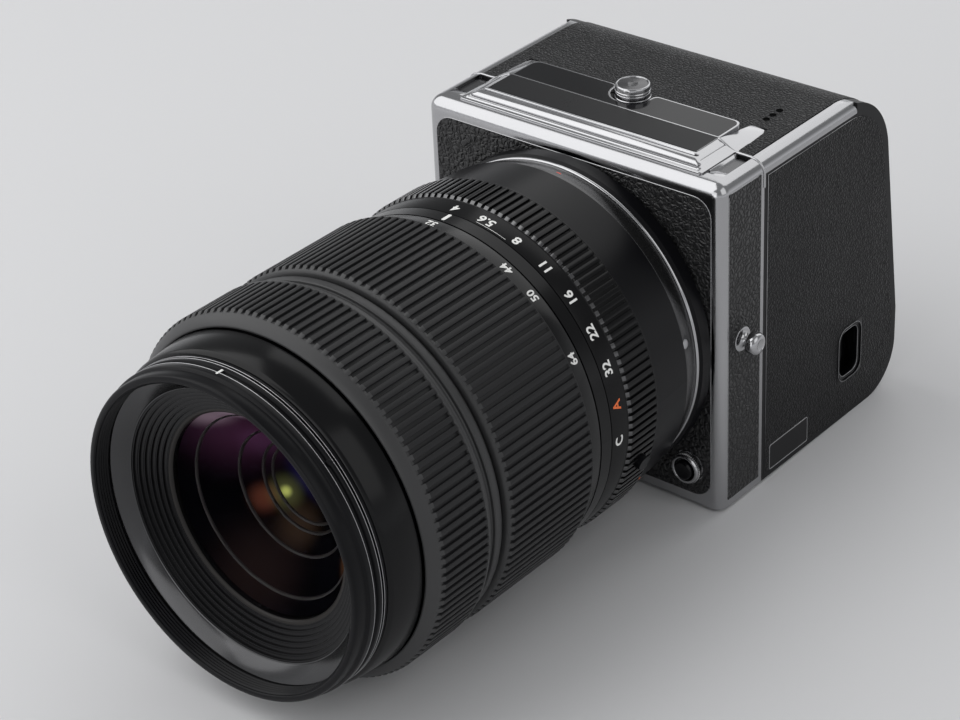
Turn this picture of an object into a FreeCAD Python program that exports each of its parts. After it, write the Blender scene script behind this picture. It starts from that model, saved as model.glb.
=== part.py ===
"""Medium format camera: thin chrome body, digital back, adapter ring and zoom lens.

Millimetres. +Z is up, the lens looks along -Y, and +X is to the right seen from the front.
The origin is the centre of the tripod socket, on the plane of the base plate.
Every piece is drawn in the body's own datum (centre line, front face, base plane) or, for the
lens, in the lens datum (radius from the optical axis, distance ahead of the front face), and is
then set back by the distance from the front face to the tripod socket.
"""
import FreeCAD, Part
import math
import os
import re

import Sketcher

V = FreeCAD.Vector
doc = FreeCAD.newDocument("camera")
sheet = doc.addObject("Spreadsheet::Sheet", "Sizes")

# Driving dimensions: alias, value
SIZES = [
    # camera body
    ("body_width", 91.0), ("body_height", 90.8), ("body_depth", 17.5), ("socket_setback", 9.0),
    ("front_wall", 2.4), ("body_wall", 3.0), ("floor_thickness", 4.5), ("ceiling_thickness", 5.8),
    ("front_edge_radius", 3.0), ("top_edge_radius", 3.4), ("fit_gap", 0.05), ("free_gap", 0.3),
    ("roof_side_margin", 9.0), ("roof_front_setback", 3.0), ("roof_rise", 2.5),
    ("molding_pitch", 1.35), ("plate_side_margin", 4.5), ("plate_front_setback", 8.5),
    ("plate_thickness", 0.8), ("slot_roof_gap", 0.9), ("slot_side_margin", 3.5), ("slot_depth", 0.9),
    ("slot_front_setback", 5.0),
    ("leather_side_margin", 3.2), ("leather_bottom", 2.6), ("leather_top_margin", 4.2),
    ("leather_corner", 5.0), ("leather_recess", 0.5), ("leather_thickness", 0.7),
    ("side_leather_front", 2.8), ("side_leather_rear", 16.0), ("side_leather_bottom", 2.2),
    ("side_leather_top_margin", 2.8),
    ("base_side_margin", 7.5), ("base_front_setback", 2.5), ("base_thickness", 1.6),
    ("bush_radius", 5.0), ("bush_height", 7.0), ("socket_radius", 3.175),
    # strap lugs
    ("lug_setback", 8.3), ("lug_z", 46.4), ("lug_flange_radius", 3.2), ("lug_flange", 1.2),
    ("lug_neck_radius", 1.2), ("lug_head_radius", 2.5), ("lug_reach", 5.6), ("lug_head", 3.4),
    ("lug_stem_radius", 1.0), ("lug_stem", 3.2),
    # shutter release, its wheel, and the lens release
    ("release_inset", 9.8), ("release_z", 10.2), ("wheel_radius", 4.2), ("wheel_bore", 3.0),
    ("wheel_front", 2.4), ("button_radius", 2.6), ("button_front", 3.2), ("button_stem", 1.5),
    ("button_head", 1.8), ("button_edge", 0.4), ("stem_reach", 1.2),
    ("lens_release_radius", 3.0), ("lens_release_front", 2.2), ("lens_release_head", 1.2),
    ("lens_release_edge", 0.3),
    # lens mount on the body
    ("axis_z", 44.2), ("throat_radius", 34.0), ("mount_radius", 38.0), ("mount_bore", 32.5),
    ("mount_face", 1.2), ("screw_circle_radius", 36.0), ("screw_count", 6), ("screw_radius", 0.9),
    ("chamber_half_width", 29.0), ("chamber_half_height", 24.0), ("chamber_wall", 1.2),
    ("contact_half_width", 9.0), ("contact_height", 3.0),
    # digital back
    ("rear_depth", 80.0), ("slant_bottom_z", 22.0), ("slant_lean", 9.0),
    ("top_corner_radius", 20.5), ("bottom_corner_radius", 13.0), ("back_wall", 2.2),
    ("back_ceiling", 4.2), ("port_wall", 4.6),
    ("sensor_opening_half_width", 24.0), ("sensor_opening_half_height", 18.5),
    ("rail_width", 4.0), ("rail_height", 3.4), ("rail_rear_margin", 22.0),
    ("skin_recess", 0.4), ("skin_thickness", 0.6), ("skin_margin", 1.6),
    ("skin_rail_margin", 5.0), ("skin_edge_margin", 0.8), ("skin_side_inset", 2.4),
    ("skin_top_corner", 16.0), ("skin_bottom_corner", 10.8),
    ("tail_length", 14.0), ("tail_nose", 1.0), ("tail_foot", 0.5), ("plate_rear_depth", 28.0),
    ("knob_depth", 26.3), ("notch_radius", 5.7), ("knob_flange_radius", 4.9),
    ("knob_flange_rise", 1.5), ("knob_flange", 1.2), ("knob_neck_radius", 4.0),
    ("knob_head_radius", 4.3), ("knob_top_rise", 5.2), ("knob_rim", 0.6), ("knob_head", 1.1),
    ("knob_washer", 1.0), ("knob_stem_radius", 2.0), ("knob_dish", 0.5),
    ("badge_front_depth", 20.8), ("badge_rear_depth", 38.2), ("badge_bottom_z", 1.6),
    ("badge_top_z", 9.0), ("badge_thickness", 0.6),
    ("port_rear_margin", 22.6), ("port_z", 19.2), ("port_width", 8.0), ("port_height", 13.0),
    ("bezel", 1.5), ("bezel_proud", 0.3), ("socket_body_depth", 7.0),
    ("carrier_half_width", 33.0), ("carrier_half_height", 26.0), ("carrier_thickness", 3.0),
    ("sensor_half_width", 23.5), ("sensor_half_height", 18.0), ("sensor_thickness", 1.5),
    ("glass_thickness", 1.2), ("glass_margin", 1.2), ("carrier_lip", 1.0),
    ("board_thickness", 1.6), ("board_half_width", 36.0),
    ("board_half_height", 28.0),
    ("battery_left_x", -30.0), ("battery_width", 36.0), ("battery_front_depth", 33.0),
    ("battery_length", 17.0), ("battery_height", 45.0), ("latch_width", 9.0), ("latch_length", 5.0),
    ("latch_thickness", 1.2), ("latch_throw", 2.0),
    ("door_front_depth", 39.0), ("door_length", 22.0), ("door_bottom_z", 46.0),
    ("door_height", 32.0), ("door_thickness", 1.6), ("door_pin_radius", 0.5),
    ("door_pin_length", 1.5), ("door_pin_inset", 1.0), ("door_pin_setback", 0.8),
    ("door_gap", 0.7),
    ("card_block_width", 27.0), ("card_block_gap", 1.0), ("card_block_length", 10.7),
    ("card_slot_width", 2.6), ("card_slot_pitch", 5.2), ("card_slot_height", 24.0),
    ("card_slot_depth", 22.0),
    ("screen_half_width", 36.0), ("screen_height", 46.0), ("screen_thickness", 4.5),
    ("screen_bottom_z", 25.5), ("screen_gap", 0.4), ("screen_top_gap", 1.0), ("screen_wall", 4.0),
    ("screen_glass", 0.8), ("screen_border", 3.0),
    ("hinge_pin_radius", 1.0), ("hinge_inset", 1.9), ("hinge_reach", 2.5),
    ("hinge_edge_radius", 1.6),
    ("key_count", 5), ("key_pitch", 13.5), ("key_z", 17.5), ("key_radius", 2.5),
    ("key_proud", 0.8), ("key_flange_radius", 3.5), ("key_flange", 0.8), ("key_travel", 0.5),
    ("key_edge", 0.3),
    # adapter ring and lens
    ("adapter_front", 12.4), ("adapter_waist_drop", 1.0),
    ("adapter_waist", 5.6), ("adapter_taper", 1.0), ("adapter_line", 0.6),
    ("adapter_bore", 33.0),
    ("bayonet_radius", 40.0), ("bayonet_depth", 3.0), ("lens_bore", 33.2),
    ("rear_barrel_front", 26.2), ("rear_barrel_taper", 0.9), ("rear_barrel_bore", 37.0),
    ("tube_radius", 43.2), ("tube_wall", 1.6), ("tube_front", 107.3),
    ("band_rise", 1.8), ("index_rear", 43.7), ("index_front", 47.5),
    ("aperture_grip_front", 37.3), ("aperture_grip_rise", 0.7), ("aperture_rib_count", 136),
    ("zoom_band_front", 53.0), ("zoom_grip_front", 82.7), ("zoom_front", 83.4),
    ("grip_rise", 3.6), ("zoom_rib_count", 122), ("focus_rib_count", 126),
    ("rib_height", 0.6), ("lip_drop", 0.3),
    ("gap_ring_rear", 83.7), ("gap_ring_front", 90.0), ("gap_ring_rise", 2.1),
    ("gap_ring_lip", 2.2), ("gap_ring_chamfer", 0.5),
    ("focus_grip_rear", 91.0), ("focus_grip_front", 106.6), ("focus_lip_front", 107.5),
    ("focus_front", 109.2), ("focus_nose_rise", 0.7), ("ring_gap", 0.3),
    ("sleeve_gap", 0.4), ("sleeve_wall", 1.4), ("sleeve_rear", 52.0),
    ("name_band_rear", 109.6), ("name_band_rise", 2.1), ("name_band_front", 118.8),
    ("name_band_taper", 0.9), ("hood_rise", 0.3), ("rim_drop", 0.5),
    ("lens_front", 128.7), ("filter_wall", 2.7), ("filter_depth", 4.6),
    ("rim_depth", 2.6), ("rim_taper", 0.8), ("hood_taper", 0.4),
    ("cone_width", 4.1), ("cone_rear", 121.7),
    ("steps_width", 5.9), ("baffle_step_count", 5), ("baffle_seat", 116.5),
    ("glass_seat_width", 3.0), ("front_glass_rim", 3.0), ("front_glass_sag", 4.0),
    ("cell_rear", 78.0), ("cell_front", 107.6),
    ("inner_glass_radius", 20.0), ("inner_glass_thickness", 7.0), ("inner_glass_rear", 82.0),
    ("inner_glass_pitch", 12.0),
    ("iris_rear", 30.0), ("iris_front", 36.0), ("iris_bore", 13.0),
    ("iris_plate", 2.0),
    ("rear_glass_radius", 16.0), ("rear_glass_thickness", 5.0), ("rear_cell_rear", 20.0),
    ("lock_angle", 107.0), ("lock_radius", 1.9), ("lock_proud", 1.2), ("lock_depth", 1.4),
    ("lock_ahead", 31.0),
]

for row, (alias, value) in enumerate(SIZES, start=1):
    sheet.set("A%d" % row, "%g" % value)
    sheet.setAlias("A%d" % row, alias)
doc.recompute()

# Sizes that follow from the driving ones
WORKED_OUT = {
    "roof_half_width": "body_width / 2 - roof_side_margin",
    "plate_half_width": "roof_half_width - plate_side_margin",
    "slot_inner_x": "roof_half_width + slot_roof_gap",
    "slot_outer_x": "body_width / 2 - slot_side_margin",
    "leather_half_width": "body_width / 2 - leather_side_margin",
    "leather_top": "body_height - leather_top_margin",
    "side_leather_top": "body_height - side_leather_top_margin",
    "base_half_width": "body_width / 2 - base_side_margin",
    "release_x": "body_width / 2 - release_inset",
    "rail_end_depth": "rear_depth - rail_rear_margin",
    "skin_top_end_depth": "rail_end_depth - skin_rail_margin",
    "port_depth": "rear_depth - port_rear_margin",
    "knob_flange_z": "body_height + knob_flange_rise",
    "knob_top_z": "body_height + knob_top_rise",
    "roof_top": "body_height + roof_rise",
    "tube_bore": "tube_radius - tube_wall",
    "band_radius": "tube_radius + band_rise",
    "rear_barrel_radius": "band_radius",
    "rear_barrel_rear_radius": "rear_barrel_radius - rear_barrel_taper",
    "adapter_nose_radius": "tube_radius + focus_nose_rise",
    "adapter_waist_radius": "tube_radius - adapter_waist_drop",
    "adapter_radius": "tube_radius",
    "aperture_grip_radius": "band_radius + aperture_grip_rise",
    "grip_radius": "tube_radius + grip_rise",
    "lip_radius": "grip_radius - lip_drop",
    "gap_ring_radius": "tube_radius + gap_ring_rise",
    "focus_nose_radius": "tube_radius + focus_nose_rise",
    "sleeve_radius": "tube_bore - sleeve_gap",
    "sleeve_bore": "sleeve_radius - sleeve_wall",
    "name_band_rear_radius": "sleeve_radius + name_band_rise",
    "name_band_front_radius": "name_band_rear_radius - name_band_taper",
    "hood_ring_radius": "sleeve_radius + hood_rise",
    "rim_radius": "sleeve_radius - rim_drop",
    "filter_radius": "sleeve_radius - filter_wall",
    "cone_inner_radius": "filter_radius - cone_width",
    "baffle_step_radius": "cone_inner_radius - steps_width",
    "front_glass_radius": "baffle_step_radius - glass_seat_width",
}
WORD = re.compile(r"\b[a-z]+_[a-z_]+\b|\bbezel\b")


def formula(text):
    """An expression over the sheet, from one written with bare names."""
    def spell(found):
        name = found.group()
        if name in WORKED_OUT:
            return "(%s)" % formula(WORKED_OUT[name])
        return "Sizes." + name
    return WORD.sub(spell, text)


def value(text):
    """The number that an expression has now."""
    return float(sheet.evalExpression(formula(text)))


def bind(target, prop, text):
    """Tie one property of an object to an expression over the sheet."""
    target.setExpression(prop, formula(text))


def place(target, x="0", y="0", z="0"):
    """Set an object in the body's datum, which lies ahead of the tripod socket."""
    bind(target, "Placement.Base.x", x)
    bind(target, "Placement.Base.y", "(%s) - socket_setback" % y)
    bind(target, "Placement.Base.z", z)


def named(target, label):
    """Give a finished sub-part its label and keep it for the export."""
    target.Label = label
    NODES.append(target)
    return target


NODES = []


def plane_of(body, role):
    """One of a body's own origin planes, by its role."""
    return [feature for feature in body.Origin.OriginFeatures if feature.Role == role][0]


def sketch_on(body, role, offset="0"):
    """A new sketch on a body's own origin plane, moved off it by an expression."""
    sketch = body.newObject("Sketcher::SketchObject", body.Name + "_outline")
    sketch.AttachmentSupport = [(plane_of(body, role), "")]
    sketch.MapMode = "FlatFace"
    bind(sketch, "AttachmentOffset.Base.z", offset)
    return sketch


def draw_polygon(sketch, points):
    """Close straight sides through points given as pairs of expressions."""
    first = sketch.GeometryCount
    count = len(points)
    spots = [V(value(u), value(v), 0) for u, v in points]
    for index in range(count):
        sketch.addGeometry(Part.LineSegment(spots[index], spots[(index + 1) % count]))
    for index in range(count):
        following = first + (index + 1) % count
        sketch.addConstraint(Sketcher.Constraint("Coincident", first + index, 2, following, 1))
    for index, (u, v) in enumerate(points):
        for kind, text, now in (("DistanceX", u, spots[index].x), ("DistanceY", v, spots[index].y)):
            rule = Sketcher.Constraint(kind, -1, 1, first + index, 1, now)
            bind(sketch, "Constraints[%d]" % sketch.addConstraint(rule), text)


def draw_circle(sketch, u, v, radius):
    """A circle whose centre and radius are expressions."""
    circle = Part.Circle(V(value(u), value(v), 0), V(0, 0, 1), value(radius))
    index = sketch.addGeometry(circle)
    for kind, text in (("DistanceX", u), ("DistanceY", v)):
        rule = Sketcher.Constraint(kind, -1, 1, index, 3, value(text))
        bind(sketch, "Constraints[%d]" % sketch.addConstraint(rule), text)
    rule = Sketcher.Constraint("Radius", index, value(radius))
    bind(sketch, "Constraints[%d]" % sketch.addConstraint(rule), radius)


def rectangle(left, right, low, high):
    """The four corners of an upright rectangle."""
    return [(left, low), (right, low), (right, high), (left, high)]


class Piece:
    """A solid made by features, one after another, in the body's datum."""

    def __init__(self, name, x="0", y="0", z="0"):
        self.body = doc.addObject("PartDesign::Body", name)
        place(self.body, x, y, z)
        self.name = name

    def _extrude(self, kind, role, draw, start, length, symmetric, reverse):
        sketch = sketch_on(self.body, role, start)
        draw(sketch)
        feature = self.body.newObject("PartDesign::" + kind, self.name + "_" + kind.lower())
        feature.Profile = sketch
        feature.Midplane = symmetric
        feature.Reversed = reverse
        bind(feature, "Length", length)
        sketch.Visibility = False
        doc.recompute()
        return feature

    def _checked_cut(self, role, draw, start, length, symmetric, reverse):
        before = self.body.Shape.Volume
        feature = self._extrude("Pocket", role, draw, start, length, symmetric, reverse)
        if not self.body.Shape.Volume < before - 1e-6:
            raise RuntimeError("a cut in %s removes nothing" % self.name)
        return feature

    def pad(self, role, draw, start, length, symmetric=False, reverse=False):
        """Add material along the plane's normal."""
        self._extrude("Pad", role, draw, start, length, symmetric, reverse)
        return self

    def cut(self, role, draw, start, length, symmetric=False, reverse=False):
        """Take material away, starting at an offset and going along the plane's normal."""
        self._checked_cut(role, draw, start, length, symmetric, not reverse)
        return self

    def turn(self, points):
        """Revolve an outline in radius and distance about the local Y axis."""
        sketch = sketch_on(self.body, "XY_Plane")
        draw_polygon(sketch, points)
        feature = self.body.newObject("PartDesign::Revolution", self.name + "_turned")
        feature.Profile = sketch
        feature.ReferenceAxis = (sketch, ["V_Axis"])
        feature.Angle = 360.0
        doc.recompute()
        return self

    def round(self, radius, chosen):
        """Fillet the edges of the present solid that a test picks."""
        tip = self.body.Tip
        names = ["Edge%d" % (index + 1) for index, edge in enumerate(tip.Shape.Edges)
                 if chosen(edge)]
        if not names:
            raise RuntimeError("no edge to round on %s" % self.name)
        feature = self.body.newObject("PartDesign::Fillet", self.name + "_fillet")
        feature.Base = (tip, names)
        bind(feature, "Radius", radius)
        doc.recompute()
        return self

    def done(self):
        """Label the finished body."""
        return named(self.body, self.name)


def runs_along(edge, axis):
    """True for a straight edge that is parallel to X, Y or Z (0, 1 or 2)."""
    if edge.Degenerated or len(edge.Vertexes) != 2:
        return False
    if edge.Curve.TypeId != "Part::GeomLine":
        return False
    step = edge.Vertexes[1].Point - edge.Vertexes[0].Point
    return all(abs(step[other]) < 1e-6 for other in range(3) if other != axis)


def corner_test(axis, *spots):
    """Pick edges along an axis through any of these places on the other two axes."""
    others = [index for index in range(3) if index != axis]
    places = [(value(a), value(b)) for a, b in spots]

    def test(edge):
        if not runs_along(edge, axis):
            return False
        point = edge.CenterOfMass
        here = (point[others[0]], point[others[1]])
        return any(math.dist(here, spot) < 1e-4 for spot in places)
    return test


def polygon(points):
    """A drawing of one polygon."""
    return lambda sketch: draw_polygon(sketch, points)


def circle(u, v, radius):
    """A drawing of one circle."""
    return lambda sketch: draw_circle(sketch, u, v, radius)


def circle_row(spots, radius):
    """A drawing of equal circles."""
    def draw(sketch):
        for u, v in spots:
            draw_circle(sketch, u, v, radius)
    return draw


def box(name, left, right, front, rear, low, high):
    """A plain block between six planes of the body's datum."""
    block = doc.addObject("Part::Box", name)
    bind(block, "Length", "(%s) - (%s)" % (right, left))
    bind(block, "Width", "(%s) - (%s)" % (rear, front))
    bind(block, "Height", "(%s) - (%s)" % (high, low))
    place(block, left, front, low)
    doc.recompute()
    return block


def screw_spots():
    """Where the mount screws sit, in X and height."""
    spots = []
    for index in range(round(value("screw_count"))):
        turn = "360 * (%d + 0.5) / screw_count" % index
        spots.append(("screw_circle_radius * sin(%s)" % turn,
                      "axis_z + screw_circle_radius * cos(%s)" % turn))
    return spots


# A sketch on the XZ plane looks along -Y: a positive offset there is ahead of the front face,
# and a cut or pad that goes back into the camera has a negative direction.
FRONT, SIDE, TOP = "XZ_Plane", "YZ_Plane", "XY_Plane"

# Camera body: front housing
half = "body_width / 2"
housing = Piece("front_housing")
housing.pad(TOP, polygon(rectangle("-" + half, half, "0", "body_depth")), "0", "body_height")
housing.round("front_edge_radius", corner_test(2, (half, "0"), ("-" + half, "0")))
top_front = value("body_height")
housing.round("top_edge_radius", lambda edge: abs(edge.BoundBox.ZMin - top_front) < 1e-6
              and abs(edge.BoundBox.ZMax - top_front) < 1e-6
              and edge.BoundBox.YMax < value("body_depth") - 1e-3)
housing.cut(FRONT, polygon(rectangle("-leather_half_width", "leather_half_width",
                                     "leather_bottom", "leather_top")),
            "-leather_recess", "leather_recess + 1")
housing.round("leather_corner", corner_test(1, *[
    ("%sleather_half_width" % side, level) for side in ("", "-")
    for level in ("leather_bottom", "leather_top")]))
for sign in ("", "-"):
    edge_x = "%s(%s - skin_recess)" % (sign, half)
    housing.cut(SIDE, polygon(rectangle("side_leather_front", "side_leather_rear",
                                        "side_leather_bottom", "side_leather_top")),
                edge_x, "skin_recess + 1", reverse=(sign == "-"))
cavity_half = "(body_width / 2 - body_wall)"
housing.cut(FRONT, polygon(rectangle("-" + cavity_half, cavity_half, "floor_thickness",
                                     "body_height - ceiling_thickness")),
            "-front_wall", "body_depth", reverse=True)
housing.cut(FRONT, circle("0", "axis_z", "throat_radius"), "1", "front_wall + 2", reverse=True)
housing.cut(FRONT, circle_row(screw_spots(), "screw_radius + fit_gap"), "1", "front_wall + 2",
            reverse=True)
for sign in ("", "-"):
    housing.cut(FRONT, circle(sign + "release_x", "release_z", "button_stem + free_gap"), "1",
                "front_wall + 2", reverse=True)
housing.cut(TOP, polygon(rectangle("-base_half_width", "base_half_width", "base_front_setback",
                                   "body_depth")), "-1", "base_thickness + 1")
housing.cut(TOP, circle("0", "socket_setback", "bush_radius + fit_gap"), "0", "floor_thickness + 1")
for sign in ("", "-"):
    housing.cut(TOP, polygon(rectangle("%sslot_inner_x" % sign, "%sslot_outer_x" % sign,
                                       "slot_front_setback", "body_depth")),
                "body_height - slot_depth", "slot_depth + 1")
housing.cut(SIDE, circle("lug_setback", "lug_z", "lug_stem_radius + fit_gap"), "0",
            "body_width + 2", symmetric=True)
housing.done()

# Roof: stepped chrome molding that carries the dark plate
MOLDING_STEPS = 4
molding = Piece("roof_molding")
for step in range(MOLDING_STEPS):
    inset = "%d * molding_pitch" % step
    side_x = "(roof_half_width - 0.8 * %s)" % inset
    molding.pad(TOP, polygon(rectangle("-" + side_x, side_x, "roof_front_setback + " + inset,
                                       "body_depth")),
                "body_height + roof_rise * %d / %d" % (step, MOLDING_STEPS),
                "roof_rise / %d" % MOLDING_STEPS)
molding.cut(TOP, polygon(rectangle("-plate_half_width - fit_gap", "plate_half_width + fit_gap",
                                   "plate_front_setback - fit_gap", "body_depth")),
            "body_height + roof_rise - plate_thickness", "plate_thickness + 1")
molding.done()

roof_plate = Piece("roof_plate")
roof_plate.pad(TOP, polygon(rectangle("-plate_half_width", "plate_half_width",
                                      "plate_front_setback", "body_depth")),
               "body_height + roof_rise - plate_thickness", "plate_thickness")
roof_plate.done()

# Leatherette panels on the body
panel = Piece("front_leather")
panel.pad(FRONT, polygon(rectangle("-leather_half_width + fit_gap", "leather_half_width - fit_gap",
                                   "leather_bottom + fit_gap", "leather_top - fit_gap")),
          "-leather_recess", "leather_thickness")
panel.round("leather_corner", corner_test(1, *[
    ("%s(leather_half_width - fit_gap)" % side, level) for side in ("", "-")
    for level in ("leather_bottom + fit_gap", "leather_top - fit_gap")]))
panel.cut(FRONT, circle("0", "axis_z", "mount_radius + free_gap"), "1", "3", reverse=True)
for button_x, radius in (("release_x", "wheel_radius"), ("-release_x", "lens_release_radius")):
    panel.cut(FRONT, circle(button_x, "release_z", radius + " + free_gap"), "1", "3", reverse=True)
panel.done()

for side, sign in (("right", 1), ("left", -1)):
    skin = Piece("side_leather_" + side)
    start = "body_width / 2 - skin_recess" if sign > 0 else "-body_width / 2 + skin_recess"
    skin.pad(SIDE, polygon(rectangle("side_leather_front + fit_gap", "side_leather_rear - fit_gap",
                                     "side_leather_bottom + fit_gap",
                                     "side_leather_top - fit_gap")),
             start, "skin_thickness", reverse=(sign < 0))
    skin.cut(SIDE, circle("lug_setback", "lug_z", "lug_stem_radius + fit_gap"),
             "0", "body_width + 4", symmetric=True)
    skin.done()

# Base plate with the tripod bush
base = Piece("base_plate")
base.pad(TOP, polygon(rectangle("-base_half_width + fit_gap", "base_half_width - fit_gap",
                                "base_front_setback + fit_gap", "body_depth")),
         "0", "base_thickness")
base.cut(TOP, circle("0", "socket_setback", "bush_radius + fit_gap"), "-1", "base_thickness + 2")
base.done()

bush = Piece("tripod_bush", y="socket_setback")
bush.pad(TOP, circle("0", "0", "bush_radius"), "0", "bush_height")
bush.cut(TOP, circle("0", "0", "socket_radius"), "-1", "bush_height + 2")
bush.done()


def turned_part(name, points, x, y, z, axis, angle):
    """A turned piece whose own axis is laid along another direction."""
    piece = Piece(name, x, y, z)
    piece.turn(points)
    piece.body.Placement.Rotation = FreeCAD.Rotation(axis, angle)
    return piece


# Strap lugs: two alike, one on each side
lug_outline = [
    ("0", "-lug_stem"), ("lug_stem_radius", "-lug_stem"), ("lug_stem_radius", "0"),
    ("lug_flange_radius", "0"), ("lug_flange_radius", "lug_flange / 2"),
    ("lug_neck_radius", "lug_flange"), ("lug_neck_radius", "lug_reach - lug_head"),
    ("lug_head_radius", "lug_reach - lug_head + 0.4"),
    ("lug_head_radius", "lug_reach - 0.5"), ("lug_head_radius - 0.5", "lug_reach"),
    ("0", "lug_reach"),
]
lug_pair = doc.addObject("Part::Compound", "lug_pair")
lug_seat = "body_width / 2 - skin_recess + skin_thickness"
lugs = []
for sign, turn in ((1, -90), (-1, 90)):
    lug = turned_part("lug_%d" % (sign + 1), lug_outline, "%d * (%s)" % (sign, lug_seat),
                      "lug_setback", "lug_z", V(0, 0, 1), turn)
    lugs.append(lug.body)
lug_pair.Links = lugs
doc.recompute()
named(lug_pair, "strap_lugs")

# Shutter release inside its control wheel, and the lens release
wheel = Piece("control_wheel", x="release_x", z="release_z")
seat = "-leather_recess + free_gap"
wheel.pad(FRONT, circle("0", "0", "wheel_radius"), seat, "wheel_front + leather_recess - free_gap")
wheel.cut(FRONT, circle("0", "0", "wheel_bore"), "wheel_front + 1", "wheel_front + 3",
          reverse=True)
wheel.done()

shutter = Piece("shutter_button", x="release_x", z="release_z")
shutter.turn([
    ("0", "-button_front"), ("button_radius - button_edge", "-button_front"),
    ("button_radius", "-button_front + button_edge"),
    ("button_radius", "-button_front + button_head"),
    ("button_stem", "-button_front + button_head"), ("button_stem", "front_wall + stem_reach"),
    ("0", "front_wall + stem_reach")])
shutter.done()

lens_release = Piece("lens_release_button", x="-release_x", z="release_z")
lens_release.turn([
    ("0", "-lens_release_front"),
    ("lens_release_radius - lens_release_edge", "-lens_release_front"),
    ("lens_release_radius", "-lens_release_front + lens_release_edge"),
    ("lens_release_radius", "-lens_release_front + lens_release_head"),
    ("button_stem", "-lens_release_front + lens_release_head"),
    ("button_stem", "front_wall + stem_reach"), ("0", "front_wall + stem_reach")])
lens_release.done()

# Lens mount on the body, its screws, contacts and the light chamber behind it
mount = Piece("body_mount_ring", z="axis_z")
mount.turn([
    ("mount_bore", "-mount_face"), ("mount_radius", "-mount_face"),
    ("mount_radius", "leather_recess"), ("throat_radius - fit_gap", "leather_recess"),
    ("throat_radius - fit_gap", "front_wall"), ("mount_bore", "front_wall")])
mount_holes = [(u, v.replace("axis_z + ", "")) for u, v in screw_spots()]
mount.cut(FRONT, circle_row(mount_holes, "screw_radius + fit_gap"), "mount_face + 1",
          "front_wall + 4", reverse=True)
mount.done()

screw_links = []
for index, (u, v) in enumerate(screw_spots()):
    screw = doc.addObject("Part::Cylinder", "mount_screw_%d" % index)
    bind(screw, "Radius", "screw_radius")
    bind(screw, "Height", "mount_face + front_wall - 0.3")
    screw.Placement.Rotation = FreeCAD.Rotation(V(1, 0, 0), -90)
    bind(screw, "Placement.Base.x", u)
    bind(screw, "Placement.Base.y", "0.3 - mount_face - socket_setback")
    bind(screw, "Placement.Base.z", v)
    screw_links.append(screw)
screws = doc.addObject("Part::Compound", "screw_group")
screws.Links = screw_links
doc.recompute()
named(screws, "mount_screws")

chamber = Piece("light_chamber", z="axis_z")
chamber.pad(FRONT, polygon(rectangle("-chamber_half_width", "chamber_half_width",
                                     "-chamber_half_height", "chamber_half_height")),
            "-front_wall", "body_depth - front_wall", reverse=True)
inner_w = "(chamber_half_width - chamber_wall)"
inner_h = "(chamber_half_height - chamber_wall)"
chamber.cut(FRONT, polygon(rectangle("-" + inner_w, inner_w, "-" + inner_h, inner_h)), "1",
            "body_depth + 2", reverse=True)
chamber.done()

named(box("contact_block", "-contact_half_width", "contact_half_width", "front_wall",
          "front_wall + 4", "axis_z - chamber_half_height + chamber_wall",
          "axis_z - chamber_half_height + chamber_wall + contact_height"), "contact_block")

# Digital back: shell with a slanted rear face
slant_rise = "(body_height - slant_bottom_z)"
slant_angle = "atan(slant_lean / %s)" % slant_rise


def slant_depth(level, inset="0"):
    """Depth of the slanted rear face at a level, moved inwards by an expression."""
    return "rear_depth - (%s) * tan(%s) - (%s) / cos(%s)" % (
        "%s - slant_bottom_z" % level, slant_angle, inset, slant_angle)


def lean_spot(along, inset):
    """Depth and level of a spot up the slanted face from the screen's foot, and inside it."""
    depth = "%s - (%s) * sin(%s) - (%s) * cos(%s)" % (
        slant_depth("screen_bottom_z"), along, slant_angle, inset, slant_angle)
    level = "screen_bottom_z + (%s) * cos(%s) - (%s) * sin(%s)" % (
        along, slant_angle, inset, slant_angle)
    return depth, level


def lean(piece, depth, level):
    """Lay a piece that is drawn upright along the slanted rear face."""
    piece.Placement.Rotation = FreeCAD.Rotation(V(1, 0, 0), value(slant_angle))
    bind(piece, "Placement.Rotation.Angle", slant_angle)
    bind(piece, "Placement.Base.y", "%s - socket_setback" % depth)
    bind(piece, "Placement.Base.z", level)


def side_outline(front, low, high, inset):
    """The back's outline from the side, moved inwards."""
    return [(front, low), ("rear_depth - (%s)" % inset, low),
            ("rear_depth - (%s)" % inset, "slant_bottom_z"),
            (slant_depth(high, inset), high), (front, high)]


shell = Piece("shell_blank")
shell.pad(SIDE, polygon(side_outline("body_depth", "0", "body_height", "0")), "0", "body_width",
          symmetric=True)
shell.round("top_corner_radius", corner_test(0, (slant_depth("body_height"), "body_height")))
shell.round("bottom_corner_radius", corner_test(0, ("rear_depth", "0")))
rail_blank = Piece("rail_outline")
rail_blank.pad(SIDE, polygon(side_outline("body_depth", "0", "body_height", "0")), "0",
               "body_width", symmetric=True)
rail_blank.round("top_corner_radius",
                 corner_test(0, (slant_depth("body_height"), "body_height")))
shell.cut(SIDE, polygon(side_outline("body_depth + back_wall", "back_wall",
                                     "body_height - back_ceiling", "back_wall + screen_wall")),
          "0", "body_width - 2 * back_wall", symmetric=True)
shell.round("top_corner_radius - back_wall - screen_wall", corner_test(0, (
    slant_depth("(body_height - back_ceiling)", "back_wall + screen_wall"),
    "body_height - back_ceiling")))
shell.round("bottom_corner_radius - back_wall - screen_wall", corner_test(0, (
    "rear_depth - back_wall - screen_wall", "back_wall")))
shell.cut(FRONT, polygon(rectangle("-sensor_opening_half_width", "sensor_opening_half_width",
                                   "axis_z - sensor_opening_half_height",
                                   "axis_z + sensor_opening_half_height")),
          "0", "body_depth + back_wall + 1", reverse=True)
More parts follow.
